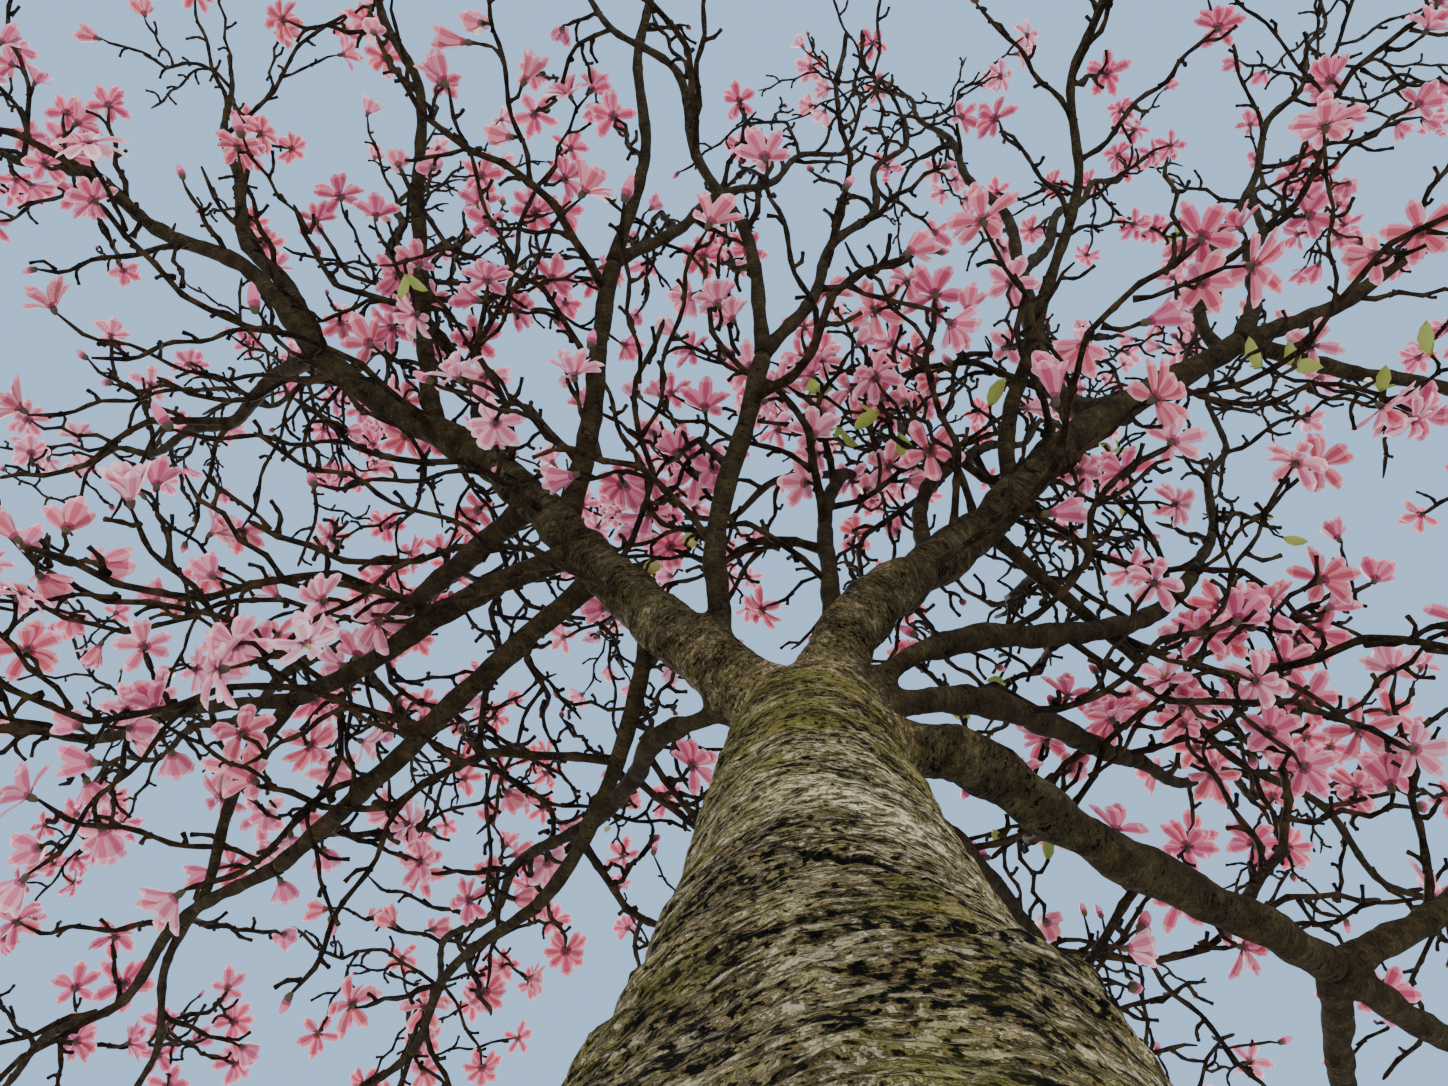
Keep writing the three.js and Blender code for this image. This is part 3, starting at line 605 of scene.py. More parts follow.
# the young bark: mottled brown with thin grey-green lichen on the thicker limbs, plain brown on the thin
young_mix = add_node(tree, "ShaderNodeMath", {0: layers["grit"], 1: 0.4, 2: layers["mottle"]},
                     operation="MULTIPLY_ADD").outputs[0]
young = add_node(tree, "ShaderNodeValToRGB", {"Fac": young_mix})
set_ramp(young.color_ramp, [(0.57, "#171006"), (0.66, "#2c2210"), (0.74, "#463a1d"), (0.86, "#6e6038")])
lichened = add_node(tree, "ShaderNodeMix", {
    "Factor": masks["lichen"], COLOUR_A: young.outputs["Color"], COLOUR_B: hex_colour("#625f3e")},
    data_type="RGBA").outputs[MIXED]
young_skin = add_node(tree, "ShaderNodeMix", {
    "Factor": masks["mottling"], COLOUR_A: hex_colour("#33281a"), COLOUR_B: lichened},
    data_type="RGBA").outputs[MIXED]
# faint pale ridges on the thicker young wood, partly a painted highlight
faint = add_node(tree, "ShaderNodeMath", {0: ridge, 1: masks["faintness"]}, operation="MULTIPLY").outputs[0]
young_ridged = add_node(tree, "ShaderNodeMix", {
    "Factor": faint, COLOUR_A: young_skin, COLOUR_B: hex_colour("#a09070")}, data_type="RGBA").outputs[MIXED]
ground = add_node(tree, "ShaderNodeMix", {"Factor": masks["old"], COLOUR_A: young_ridged, COLOUR_B: buff},
                  data_type="RGBA").outputs[MIXED]
# painted shade darkens the pits, the seams and the clefts, and the rough patches are darker than the others
shade = masks["pit"]
for mask in ("seam", "shut"):
    shade = add_node(tree, "ShaderNodeMath", {0: shade, 1: masks[mask]}, operation="MULTIPLY").outputs[0]
shade = add_node(tree, "ShaderNodeMath", {0: shade, 1: 0.99, 2: 0.01}, operation="MULTIPLY_ADD").outputs[0]
shade = add_node(tree, "ShaderNodeMath", {0: shade, 1: masks["weather"]}, operation="MULTIPLY").outputs[0]
shaded = add_node(tree, "ShaderNodeMix", {"Factor": 1.0, COLOUR_A: ground, COLOUR_B: shade},
                  data_type="RGBA", blend_type="MULTIPLY").outputs[MIXED]
# moss: a yellow-green film in patches on the old bark, thickest where it is damp and thin where the bark is
# worn. It is laid on thicker under the fork and on the left of the trunk, partly as painted shade there, and
# it takes the painted shade of the pits.
moss_and_shade_cover = layers["moss"]
for what, share in (
        (masks["moss_and_shade_under_fork"], 1.0), (masks["moss_and_shade_on_left"], 1.0), (masks["off_young"], 1.0),
        (worn, -0.08), (damp, 0.09)):
    moss_and_shade_cover = add_node(tree, "ShaderNodeMath", {0: what, 1: share, 2: moss_and_shade_cover},
                         operation="MULTIPLY_ADD").outputs[0]
moss_and_shade_mask = add_node(tree, "ShaderNodeMapRange", {
    "Value": moss_and_shade_cover, "From Min": 0.54, "From Max": 0.68, "To Max": 0.8}).outputs["Result"]
moss = add_node(tree, "ShaderNodeMix", {"Factor": 0.9, COLOUR_A: hex_colour("#766e2b"), COLOUR_B: shade},
                data_type="RGBA", blend_type="MULTIPLY").outputs[MIXED]
bark_with_moss_and_shade = add_node(tree, "ShaderNodeMix", {"Factor": moss_and_shade_mask, COLOUR_A: shaded, COLOUR_B: moss},
                 data_type="RGBA").outputs[MIXED]
tree.links.new(bark_with_moss_and_shade, shader.inputs["Base Color"])
raised = masks["pit"]
for what, share in ((ridge, 0.8), (masks["seam"], 0.7), (masks["shut"], 1.0), (layers["grit"], 0.35)):
    raised = add_node(tree, "ShaderNodeMath", {0: what, 1: share, 2: raised},
                      operation="MULTIPLY_ADD").outputs[0]
bump = add_node(tree, "ShaderNodeBump", {"Height": raised, "Strength": 1.0, "Distance": 0.008})
tree.links.new(bump.outputs["Normal"], shader.inputs["Normal"])

fork.data.materials.clear()
for piece in (trunk, fork):
    piece.data.materials.append(bark)
    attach(piece, "root")
    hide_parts("trunk")

# The limbs: each one tapering limb of wood in the same bark, younger and browner as it thins. The ten from
# the fork go on from their feet there, and the others grow out of the left and the right bough with a
# swollen collar.

THICK_LIMB = 0.08
THICK_LIMB_SIDES = 28
LIMB_SIDES = 20
LIMB_END = (0.93, 0.8, 0.5)  # the last stations of a limb are drawn in, so that its tip is round

for limb in LIMBS:
    name, on, _, length, girth, _, _ = limb
    line = limb_lines[name]
    way = np.linspace(0, 1, len(line))
    radii = limb_radius(limb, way)
    radii[-len(LIMB_END):] *= LIMB_END
    frames = frames_along(line)
    way = way * length
    start = 0
    if on == "trunk":
        start = FOOT_LENGTH - FOOT_OVERLAP - LAP
        radii = radii - FOOT_STEP * np.clip(1 - (way - start) / LAP, 0, 1)
    free = way >= start
    sides = THICK_LIMB_SIDES if girth[0] > THICK_LIMB else LIMB_SIDES
    points, faces, grain, outward = tube(line[free], radii[free], sides, [f[free] for f in frames], way[free])
    thickness = np.concatenate([np.repeat(radii[free], sides), radii[free][:1], radii[-1:]])
    points = points + outward * relief(grain, thickness)[:, None]
    piece = mesh_object(name + "_wood", points, faces)
    store(piece.data, "grain", "FLOAT_VECTOR", grain)
    store(piece.data, "girth", "FLOAT", thickness)
    shade_smooth(piece.data)
    piece.data.materials.append(bark)
    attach(piece, "root")
    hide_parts(name)

# The blossoming wood: from the tip of each limb two or three stems go on, with side branches, twigs and
# short spurs at every node. The rule is that of the model's masses, carried two orders finer, inside the
# same crown.

# Each mass: the limb whose tip carries it, its stem's length, and the stem's heading and rise at both ends
MASSES = [
    ("blossom_left_out", "left_bough", 2.15, (-128, -166), (14, 32)),
    ("blossom_left_top", "left_bough", 1.95, (-128, -100), (32, 44)),
    ("blossom_left_mid", "left_bough", 1.75, (168, 186), (40, 34)),
    ("blossom_right_out", "right_bough", 2.15, (-19, -2), (20, 34)),
    ("blossom_right_top", "right_bough", 1.85, (-48, -36), (50, 56)),
    ("blossom_right_low", "right_bough", 1.85, (14, 46), (8, 26)),
    ("blossom_low_right_side", "low_right_bough", 1.95, (-14, 4), (24, 32)),
    ("blossom_low_right_out", "low_right_bough", 2.15, (36, 28), (16, 36)),
    ("blossom_low_right_back", "low_right_bough", 2.15, (74, 66), (24, 36)),
    ("blossom_mid_right", "mid_right_bough", 2.0, (34, 20), (48, 48)),
    ("blossom_side_right", "side_right_bough", 1.85, (-30, -62), (56, 58)),
    ("blossom_over_left", "over_bough", 1.85, (-92, -132), (28, 36)),
    ("blossom_over_right", "over_bough", 1.65, (-52, -62), (48, 54)),
    ("blossom_centre_top", "centre_bough", 2.5, (-10, -50), (74, 78)),
    ("blossom_centre_left", "centre_bough", 1.95, (176, 150), (54, 60)),
    ("blossom_back_top", "back_bough", 2.2, (128, 112), (62, 70)),
    ("blossom_back_out", "back_bough", 2.05, (88, 80), (34, 38)),
    ("blossom_back_left", "back_left_bough", 2.15, (144, 124), (42, 40)),
    ("blossom_back_right", "back_right_bough", 2.0, (62, 76), (36, 50)),
    ("blossom_front_left", "upright_front", 1.95, (-72, -108), (20, 34)),
    ("blossom_front_right", "upright_front", 1.75, (-44, -30), (50, 56)),
    ("blossom_left_front", "left_front", 1.85, (-88, -128), (16, 34)),
    ("blossom_left_high", "left_high", 2.05, (-128, -92), (50, 62)),
    ("blossom_left_high_side", "left_high", 1.85, (172, 190), (46, 36)),
    ("blossom_left_side", "left_side", 2.05, (158, 170), (30, 38)),
    ("blossom_left_side_up", "left_side", 1.75, (112, 136), (60, 62)),
    ("blossom_left_near", "left_near", 2.05, (172, 192), (20, 28)),
    ("blossom_left_near_down", "left_near", 1.65, (130, 118), (8, 24)),
    ("blossom_left_down", "left_down", 2.2, (152, 152), (18, 26)),
    ("blossom_left_under", "left_under", 1.95, (142, 128), (22, 34)),
    ("blossom_high_right", "high_right", 1.95, (-86, -106), (44, 62)),
    ("blossom_high_right_side", "high_right", 1.75, (-44, -22), (50, 56)),
    ("blossom_near_right_up", "near_right_up", 1.95, (-66, -82), (20, 30)),
    ("blossom_near_right_down", "near_right_down", 1.85, (49, 34), (12, 34)),
    ("blossom_centre_right", "centre_right", 2.15, (-8, -24), (62, 70)),
    ("blossom_right_rise", "right_rise", 1.85, (-50, -44), (30, 48)),
]
CROWN_MIDDLE = np.array([-0.06, -0.15, 2.85])
CROWN_REACH = np.array([3.45, 3.25, 3.15])
CROWN_SKIRT = 1.25  # how far the crown hangs below its middle
BOX_MARGIN = 0.02  # wood stands no farther than this out of the model's box
# How each order of wood grows: in how many steps, how far it turns at each, its lift and its end's girth
STEM, BRANCH, TWIG, SPUR = range(4)
GROWTH = [
    {"segments": 6, "zigzag": 9, "lift": 0.0, "tip": 0.006},
    {"segments": 3, "zigzag": 15, "lift": 0.12, "tip": 0.006},
    {"segments": 5, "zigzag": 10, "lift": 0.035, "tip": 0.0042},
    {"segments": 2, "zigzag": 16, "lift": 0.1, "tip": 0.0037},
]
STEM_SHARE = 0.8  # a stem's girth as a share of its limb's at the tip
SPREAD = 54
SIDE_LENGTH = 0.52
SIDE_TAPER = 0.6
TWIG_THINNING = 0.62
GOLDEN_ANGLE = 137.5
TRIES = 4
TWIG_MARGIN = 0.008
LIMB_MARGIN = 0.012
UP = Vector((0, 0, 1))


class Dice:
    """Seeded throws between 0 and 1: each state is the last one times a factor, modulo a prime."""

    PRIME = 2147483647
    FACTOR = 16807

    def __init__(self, seed):
        self.state = seed % (self.PRIME - 1) + 1

    def throw(self):
        self.state = self.state * self.FACTOR % self.PRIME
        return self.state / self.PRIME

    def between(self, low, high):
        return low + (high - low) * self.throw()


def child_seed(seed, number):
    return (seed * 31 + 7919 * (number + 1)) % (Dice.PRIME - 1)


def twig_path(order, dice, start, course, length):
    """A twig's middle line: it zigzags from node to node on its course."""
    growth = GROWTH[order]
    points = [start.copy()]
    for i in range(growth["segments"]):
        turn = math.radians(growth["zigzag"]) * (1 if i % 2 else -1) * (0.6 + 0.8 * dice.throw())
        ahead = course((i + 0.5) / growth["segments"])
        side = ahead.cross(UP).normalized()
        ahead = ahead * math.cos(turn) + side * math.sin(turn)
        ahead.z += growth["lift"] * (i + 1)
        points.append(points[-1] + ahead.normalized() * (length / growth["segments"]))
    return points


def sideways(parent_ahead, spread, bearing):
    """The direction of a side branch: leaning out from its parent, at a bearing round it."""
    first = parent_ahead.cross(UP).normalized()
    second = first.cross(parent_ahead).normalized()
    lean, round_it = math.radians(spread), math.radians(bearing)
    return (parent_ahead * math.cos(lean) + first * (math.sin(lean) * math.cos(round_it))
            + second * (math.sin(lean) * math.sin(round_it))).normalized()


class Mass:
    """A mass of the model with the middle line and girth of its main stem, and its own dice."""

    def __init__(self, number, entry):
        self.name, on, self.length, headings, rises = entry
        self.number = number
        self.seed = 1000 + 37 * number
        self.dice = Dice(self.seed)
        _, girth_at_tip = LIMBS[LIMB_NAMES.index(on)][4]
        self.girth = girth_at_tip * STEM_SHARE
        self.path = twig_path(STEM, self.dice, limb_paths[on][-1],
                              lambda t: towards(station(headings, t), station(rises, t)), self.length)


masses = [Mass(number, entry) for number, entry in enumerate(MASSES)]
mass_from = np.array([[tuple(p) for p in m.path[:-1]] for m in masses])
mass_way = np.array([[tuple(p) for p in m.path[1:]] for m in masses]) - mass_from
limb_from = np.array([[tuple(p) for p in limb_paths[n][:-1]] for n in LIMB_NAMES])
limb_way = np.array([[tuple(p) for p in limb_paths[n][1:]] for n in LIMB_NAMES]) - limb_from


def distances(starts, ways, points):
    """From each point to each line of segments: how far it is, and how far along the nearest place is."""
    off = points[:, None, None, :] - starts[None]
    t = np.clip((off * ways[None]).sum(-1) / (ways ** 2).sum(-1)[None], 0, 1)
    d = np.linalg.norm(off - ways[None] * t[..., None], axis=-1)
    nearest = d.argmin(2)
    share = (nearest + np.take_along_axis(t, nearest[..., None], 2)[..., 0]) / starts.shape[1]
    return d.min(2), share


def limb_clearance(points):
    """How far each point is outside the nearest limb's bark."""
    d, share = distances(limb_from, limb_way, points)
    for k, limb in enumerate(LIMBS):
        d[:, k] -= limb_radius(limb, share[:, k])
    return d.min(1)


def in_crown(points, radius):
    """Whether balls at the points are in the crown: an egg, flatter below, cut by the model's box."""
    out = points - CROWN_MIDDLE
    depth = np.where(out[:, 2] > 0, CROWN_REACH[2], CROWN_SKIRT)
    level = (out[:, 0] / CROWN_REACH[0]) ** 2 + (out[:, 1] / CROWN_REACH[1]) ** 2
    in_egg = (level + (out[:, 2] / depth) ** 2 <= 1).all()
    low = np.array(cad_low) - BOX_MARGIN + radius
    high = np.array(cad_high) + BOX_MARGIN - radius
    return in_egg and (points > low).all() and (points < high).all()


def is_free(mass, points, radius):
    """Whether balls at the points are in the crown and the mass's own space, and clear of trunk and limbs."""
    points = np.array([tuple(p) for p in points])
    if not in_crown(points, 0.0):
        return False
    if mass is not None:
        d = distances(mass_from, mass_way, points)[0]
        own = d[:, mass.number].copy()
        d[:, mass.number] = np.inf
        if (d.min(1) - own < 2 * radius + TWIG_MARGIN).any():
            return False
    if (limb_clearance(points) < radius + LIMB_MARGIN).any():
        return False
    above_trunk = points[:, 2] > TRUNK_HEIGHTS[-1]
    beside_trunk = np.hypot(points[:, 0], points[:, 1]) > TRUNK_RADII[0] + radius
    return bool((above_trunk | beside_trunk).all())


def find_branch(mass, number, parent_ahead, start, length, girth):
    """A side branch at its own bearing round the stem, with all its points free of other things, or none."""
    for attempt in range(TRIES):
        dice = Dice(child_seed(mass.seed, number * TRIES + attempt))
        # the first try has its place in the spiral, and the others are turned from there at random
        bearing = GOLDEN_ANGLE * number + 360 * dice.throw() * min(attempt, 1)
        direction = sideways(parent_ahead, SPREAD, bearing)
        long = length * (0.8 + 0.4 * dice.throw())
        points = twig_path(BRANCH, dice, start, lambda t: direction.copy(), long)
        if is_free(mass, points[1:], girth):
            return points, dice
    return None


shoots = []  # every stem, branch, twig and spur: its order, points, radii, and the mass that it belongs to


def add_shoot(order, points, girth, mass, dice):
    growth = GROWTH[order]
    count = len(points) - 1
    radii = [growth["tip"] + max(girth / 2 - growth["tip"], 0) * (1 - i / count) for i in range(count + 1)]
    shoots.append({"order": order, "points": points, "radii": radii, "mass": mass, "dice": dice})
    return shoots[-1]


for mass in masses:
    stem = add_shoot(STEM, mass.path, mass.girth, mass, mass.dice)
    for i in range(1, len(mass.path) - 1):
        ahead = (mass.path[i + 1] - mass.path[i - 1]).normalized()
        length = mass.length * SIDE_LENGTH * (1 - SIDE_TAPER * (i - 1) / (len(mass.path) - 2))
        girth = stem["radii"][i] * 2 * TWIG_THINNING
        found = find_branch(mass, i, ahead, mass.path[i], length, girth)
        if found:
            add_shoot(BRANCH, found[0], girth, mass, found[1])


def place_on(shoot, way):
    """The point at a distance along a shoot, the direction there, and its radius."""
    for a, b, r, s in zip(shoot["points"], shoot["points"][1:], shoot["radii"], shoot["radii"][1:]):
        step = (b - a).length
        if way <= step:
            return a.lerp(b, way / step), (b - a).normalized(), r + (s - r) * way / step
        way -= step
    return None


def length_of(points):
    return sum((b - a).length for a, b in zip(points, points[1:]))


# Side branches on the bare limbs, beyond the crowded fork
BARE_FROM_TRUNK = 0.46
BARE_FROM_BOUGH = 0.16
BARE_TIP = 0.06
LOWEST_SIDE_BRANCH = 1.9
SIDE_ROOM = 0.02
SIDE_SPREAD = 62
SIDE_GIRTHS = (0.013, 0.022)
SIDE_LENGTHS = (0.4, 1.0)
SIDE_GAPS = (0.11, 0.25)
NEARBY = 0.02

for k, (name, on, _, length, _, _, _) in enumerate(LIMBS):
    dice = Dice(5000 + 61 * k)
    path = limb_paths[name]
    way = BARE_FROM_TRUNK if on == "trunk" else BARE_FROM_BOUGH
    number = 0
    while way < length - BARE_TIP:
        t = way / length
        start = point_along(path, t)
        ahead = (point_along(path, min(t + NEARBY, 1)) - point_along(path, t - NEARBY)).normalized()
        girth = dice.between(*SIDE_GIRTHS)
        for attempt in range(TRIES):
            direction = sideways(ahead, SIDE_SPREAD, GOLDEN_ANGLE * number + 360 * dice.throw())
            points = twig_path(BRANCH, dice, start, lambda t: direction.copy(), dice.between(*SIDE_LENGTHS))
            room = np.array([tuple(p) for p in points[1:]])
            high_enough = room[:, 2].min() > LOWEST_SIDE_BRANCH
            if in_crown(room, 0) and (limb_clearance(room) > SIDE_ROOM).all() and high_enough:
                add_shoot(BRANCH, points, girth, None, dice)
                break
        number += 1
        way += dice.between(*SIDE_GAPS)

# Twigs on stems and branches, and spurs on branches and twigs: their spacing, lean, length and girth, and
# how much of what they grow on stays bare
TWIG_EVERY = 0.15
TWIG_SPREAD = 48
TWIG_LENGTHS = (0.22, 0.58)
TWIG_SHORTENING = 0.3
TWIG_GIRTHS = (0.012, 0.0165)
SPUR_EVERY = 0.085
SPUR_SPREAD = 52
SPUR_LENGTHS = (0.022, 0.09)
SPUR_GIRTH = 0.0102
SPUR_THINNING = 0.8
BRANCH_SPUR_GAP = 1.6  # spurs are this much farther apart on a branch than on a twig
BARE_STEM = 0.12
BARE_FOOT = 0.02
BARE_END = 0.03

for order, every, spread in ((TWIG, TWIG_EVERY, TWIG_SPREAD), (SPUR, SPUR_EVERY, SPUR_SPREAD)):
    for parent in [s for s in shoots if s["order"] < order and s["order"] >= order - 2]:
        dice = Dice(child_seed(parent["dice"].state, 40 + order))
        whole = length_of(parent["points"])
        way = every * dice.between(0.6, 1.2) + (BARE_STEM if parent["order"] == STEM else BARE_FOOT)
        number = 0
        while way < whole - BARE_END:
            start, ahead, radius = place_on(parent, way)
            if order == TWIG:
                length = dice.between(*TWIG_LENGTHS) * (1 - TWIG_SHORTENING * (way / whole))
                girth = min(2 * radius * TWIG_THINNING, dice.between(*TWIG_GIRTHS))
            else:
                length = dice.between(*SPUR_LENGTHS)
                girth = min(2 * radius * SPUR_THINNING, SPUR_GIRTH)
            lean = spread * dice.between(0.8, 1.2)
            direction = sideways(ahead, lean, GOLDEN_ANGLE * number + 90 * dice.throw())
            points = twig_path(order, dice, start, lambda t: direction.copy(), length)
            if is_free(parent["mass"] if order == TWIG else None, points[1:], girth / 2):
                add_shoot(order, points, girth, parent["mass"], dice)
            number += 1
            gap = BRANCH_SPUR_GAP if order == SPUR and parent["order"] == BRANCH else 1
            way += every * dice.between(0.7, 1.3) * gap

# The rings between two nodes of a shoot, for two or three to a node: they cluster round it, so that it
# shows as a knob and not as a wave
NODE_RINGS = {2: (0.0, 0.5), 3: (0.0, 0.2, 0.8)}
SHOOT_STEP = 0.01
SHOOT_COLLAR = 0.4
SHOOT_COLLAR_REACH = 2.5
STRAIGHT_FOOT = 6  # the kinks grow over the first sixth of a shoot
KINK_TURN = 2.1


def knotted(shoot, node_every, steps, knob, zigzag, last):
    """A shoot's line and radii: kinked and swollen at its nodes, with a collared foot and a blunt tip."""
    smooth = smooth_line(shoot["points"], SHOOT_STEP)
    whole = length_of(shoot["points"])
    nodes = max(1, round(whole / node_every))
    places = np.linspace(0, 1, len(smooth))
    firsts, seconds = frames_along(smooth)
    # each node is kinked to the other side than the last one, in a plane that turns, but not the foot
    node_share = np.linspace(0, 1, nodes + 1)
    node = np.arange(nodes + 1)
    side = np.where(node % 2 == 0, 1.0, -1.0) * zigzag * np.minimum(node_share * STRAIGHT_FOOT, 1)
    picked = np.minimum((node_share * (len(smooth) - 1)).astype(int), len(smooth) - 1)
    kinks = side[:, None] * (seconds[picked] + firsts[picked] * np.cos(node * KINK_TURN)[:, None])
    rings = np.arange(nodes)[:, None] + np.array(NODE_RINGS[steps])[None]
    share = np.concatenate([rings.ravel(), [nodes]]) / nodes
    line = np.stack([np.interp(share, places, smooth[:, k]) + np.interp(share, node_share, kinks[:, k])
                     for k in range(3)], 1)
    radii = np.interp(share, np.linspace(0, 1, len(shoot["radii"])), shoot["radii"])
    swollen = np.zeros(len(share))
    swollen[::steps] = knob
    collar = 1 + SHOOT_COLLAR * np.exp(-share * whole / (SHOOT_COLLAR_REACH * radii[0]))
    radii = radii * (1 + swollen) * collar
    radii[-1] *= last
    return line, radii


def polylines(name, lines):
    """An object of loose lines, each point with its thickness."""
    points = np.vstack([line for line, _ in lines])
    edges, offset = [], 0
    for line, _ in lines:
        edges += [(offset + i, offset + i + 1) for i in range(len(line) - 1)]
        offset += len(line)
    mesh = bpy.data.meshes.new(name)
    mesh.from_pydata([tuple(p) for p in points], edges, [])
    store(mesh, "thickness", "FLOAT", np.concatenate([radii for _, radii in lines]))
    made = bpy.data.objects.new(name, mesh)
    bpy.context.scene.collection.objects.link(made)
    return made


def tree_input(tree, name, kind, value=None):
    made = tree.interface.new_socket(name=name, in_out="INPUT", socket_type=kind)
    if value is not None:
        made.default_value = value


def grow(made, tree, **settings):
    """Gives an object a tree of nodes with its inputs, and turns it into the plain mesh that comes of it."""
    modifier = made.modifiers.new(tree.name, "NODES")
    modifier.node_group = tree
    for item in tree.interface.items_tree:
        if item.in_out == "INPUT" and item.name in settings:
            modifier[item.identifier] = settings[item.name]
    made.update_tag()
    return as_plain_mesh(made)


# Lines to wood: a round section carried along each line, as thick as its points say
wood_tree = bpy.data.node_groups.new("wood along lines", "GeometryNodeTree")
tree_input(wood_tree, "Lines", "NodeSocketGeometry")
tree_input(wood_tree, "Sides", "NodeSocketInt", 6)
tree_input(wood_tree, "Bark", "NodeSocketMaterial")
wood_tree.interface.new_socket(name="Wood", in_out="OUTPUT", socket_type="NodeSocketGeometry")
given = add_node(wood_tree, "NodeGroupInput").outputs
curve = add_node(wood_tree, "GeometryNodeMeshToCurve", {"Mesh": given["Lines"]}).outputs["Curve"]
section = add_node(wood_tree, "GeometryNodeCurvePrimitiveCircle", {
    "Resolution": given["Sides"], "Radius": 1.0})
thickness = add_node(wood_tree, "GeometryNodeInputNamedAttribute", {"Name": "thickness"}, data_type="FLOAT")
skin = add_node(wood_tree, "GeometryNodeCurveToMesh", {
    "Curve": curve, "Profile Curve": section.outputs["Curve"], "Scale": thickness.outputs["Attribute"],
    "Fill Caps": True}).outputs["Mesh"]
skin = add_node(wood_tree, "GeometryNodeSetShadeSmooth", {"Geometry": skin, "Shade Smooth": True}).outputs[0]
real = add_node(wood_tree, "GeometryNodeRealizeInstances", {"Geometry": skin}).outputs[0]
barked = add_node(wood_tree, "GeometryNodeSetMaterial", {"Geometry": real, "Material": given["Bark"]})
add_node(wood_tree, "NodeGroupOutput", {"Wood": barked.outputs[0]})

# Young magnolia wood: dark brown, made near-black as painted shade of backlit twigs, smooth and dull, with
# small pale pores
twig_bark, tree, shader = new_material("young_twig_bark")
shader.inputs["Roughness"].default_value = 0.8
shader.inputs["Specular IOR Level"].default_value = 0.05
place = add_node(tree, "ShaderNodeTexCoord").outputs["Object"]
mottle = add_node(tree, "ShaderNodeTexNoise", {
    "Vector": place, "Scale": 22.0, "Detail": 4.0, "Roughness": 0.6})
# the near-black browns stand partly for painted shade of the backlit twigs
twig_tone_and_shade = add_node(tree, "ShaderNodeValToRGB", {"Fac": mottle.outputs["Fac"]})
set_ramp(twig_tone_and_shade.color_ramp, [(0.35, "#0f0a06"), (0.5, "#20170e"), (0.66, "#3d2f1d")])
pores = add_node(tree, "ShaderNodeTexNoise", {"Vector": place, "Scale": 210.0, "Detail": 2.0}).outputs["Fac"]
pore_mask = add_node(tree, "ShaderNodeMapRange", {
    "Value": pores, "From Min": 0.6, "From Max": 0.7, "To Max": 0.5}).outputs["Result"]
pored = add_node(tree, "ShaderNodeMix", {
    "Factor": pore_mask, COLOUR_A: twig_tone_and_shade.outputs["Color"], COLOUR_B: hex_colour("#5d4c35")},
    data_type="RGBA").outputs[MIXED]
tree.links.new(pored, shader.inputs["Base Color"])
bump = add_node(tree, "ShaderNodeBump", {"Height": pores, "Strength": 0.4, "Distance": 0.001})
tree.links.new(bump.outputs["Normal"], shader.inputs["Normal"])

# The stems carry on the bark of the limbs, with a collar at the foot and a slight knob at each node
STEM_STEP = 0.019
STEM_SIDES = 10
STEM_COLLAR = 0.3
STEM_NODE_EVERY = 0.095
FIRST_STEM_NODE = 0.047
STEM_KNOB = 0.12
STEM_KNOB_LENGTH = 0.012
STEM_END = 0.7

stems = []
for shoot in (s for s in shoots if s["order"] == STEM):
    line = smooth_line(shoot["points"], STEM_STEP)
    way = np.linspace(0, length_of(shoot["points"]), len(line))
    radii = np.interp(way, np.linspace(0, way[-1], len(shoot["radii"])), shoot["radii"])
    collar = STEM_COLLAR * np.exp(-way / (SHOOT_COLLAR_REACH * radii[0]))
    knobs = STEM_KNOB * np.exp(-((way % STEM_NODE_EVERY - FIRST_STEM_NODE) / STEM_KNOB_LENGTH) ** 2)
    radii = radii * (1 + collar + knobs)
    radii[-1] *= STEM_END
    points, faces, grain, outward = tube(line, radii, STEM_SIDES, frames_along(line), way)
    girths = np.concatenate([np.repeat(radii, STEM_SIDES), radii[:1], radii[-1:]])
    stems.append((points + outward * relief(grain, girths)[:, None], faces, grain, girths))
offsets = np.cumsum([0] + [len(s[0]) for s in stems])
stem_wood = mesh_object("stems", np.vstack([s[0] for s in stems]),
                        [tuple(v + o for v in f) for s, o in zip(stems, offsets) for f in s[1]])
store(stem_wood.data, "grain", "FLOAT_VECTOR", np.vstack([s[2] for s in stems]))
store(stem_wood.data, "girth", "FLOAT", np.concatenate([s[3] for s in stems]))
shade_smooth(stem_wood.data)
stem_wood.data.materials.append(bark)
mass_names = [m.name for m in masses]
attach(stem_wood, "root")
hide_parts(*mass_names)

# The other kinds, with for each the sides of its section, the way between nodes, the rings to a node, how
# much thicker a node is, how far it is kinked aside, and how thick the tip is beside the wood before it
for name, order, sides, node_every, steps, knob, zigzag, last in (
        ("branches", BRANCH, 8, 0.08, 3, 0.2, 0.004, 0.4),
        ("twigs", TWIG, 6, 0.062, 2, 0.3, 0.0028, 0.45),
        ("spurs", SPUR, 5, 0.032, 2, 0.4, 0.0012, 1.0)):
    lines = [knotted(s, node_every, steps, knob, zigzag, last) for s in shoots if s["order"] == order]
    piece = grow(polylines(name, lines), wood_tree, Sides=sides, Bark=twig_bark)
    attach(piece, "root")
    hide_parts(*mass_names)

# The blossoms: big waxy flowers of nine tepals, deep rose at the foot and paling to the tips, open before the
# leaves. Each sits on a twig's tip in its brown bud scale, looks outwards and up, and is open its own way.

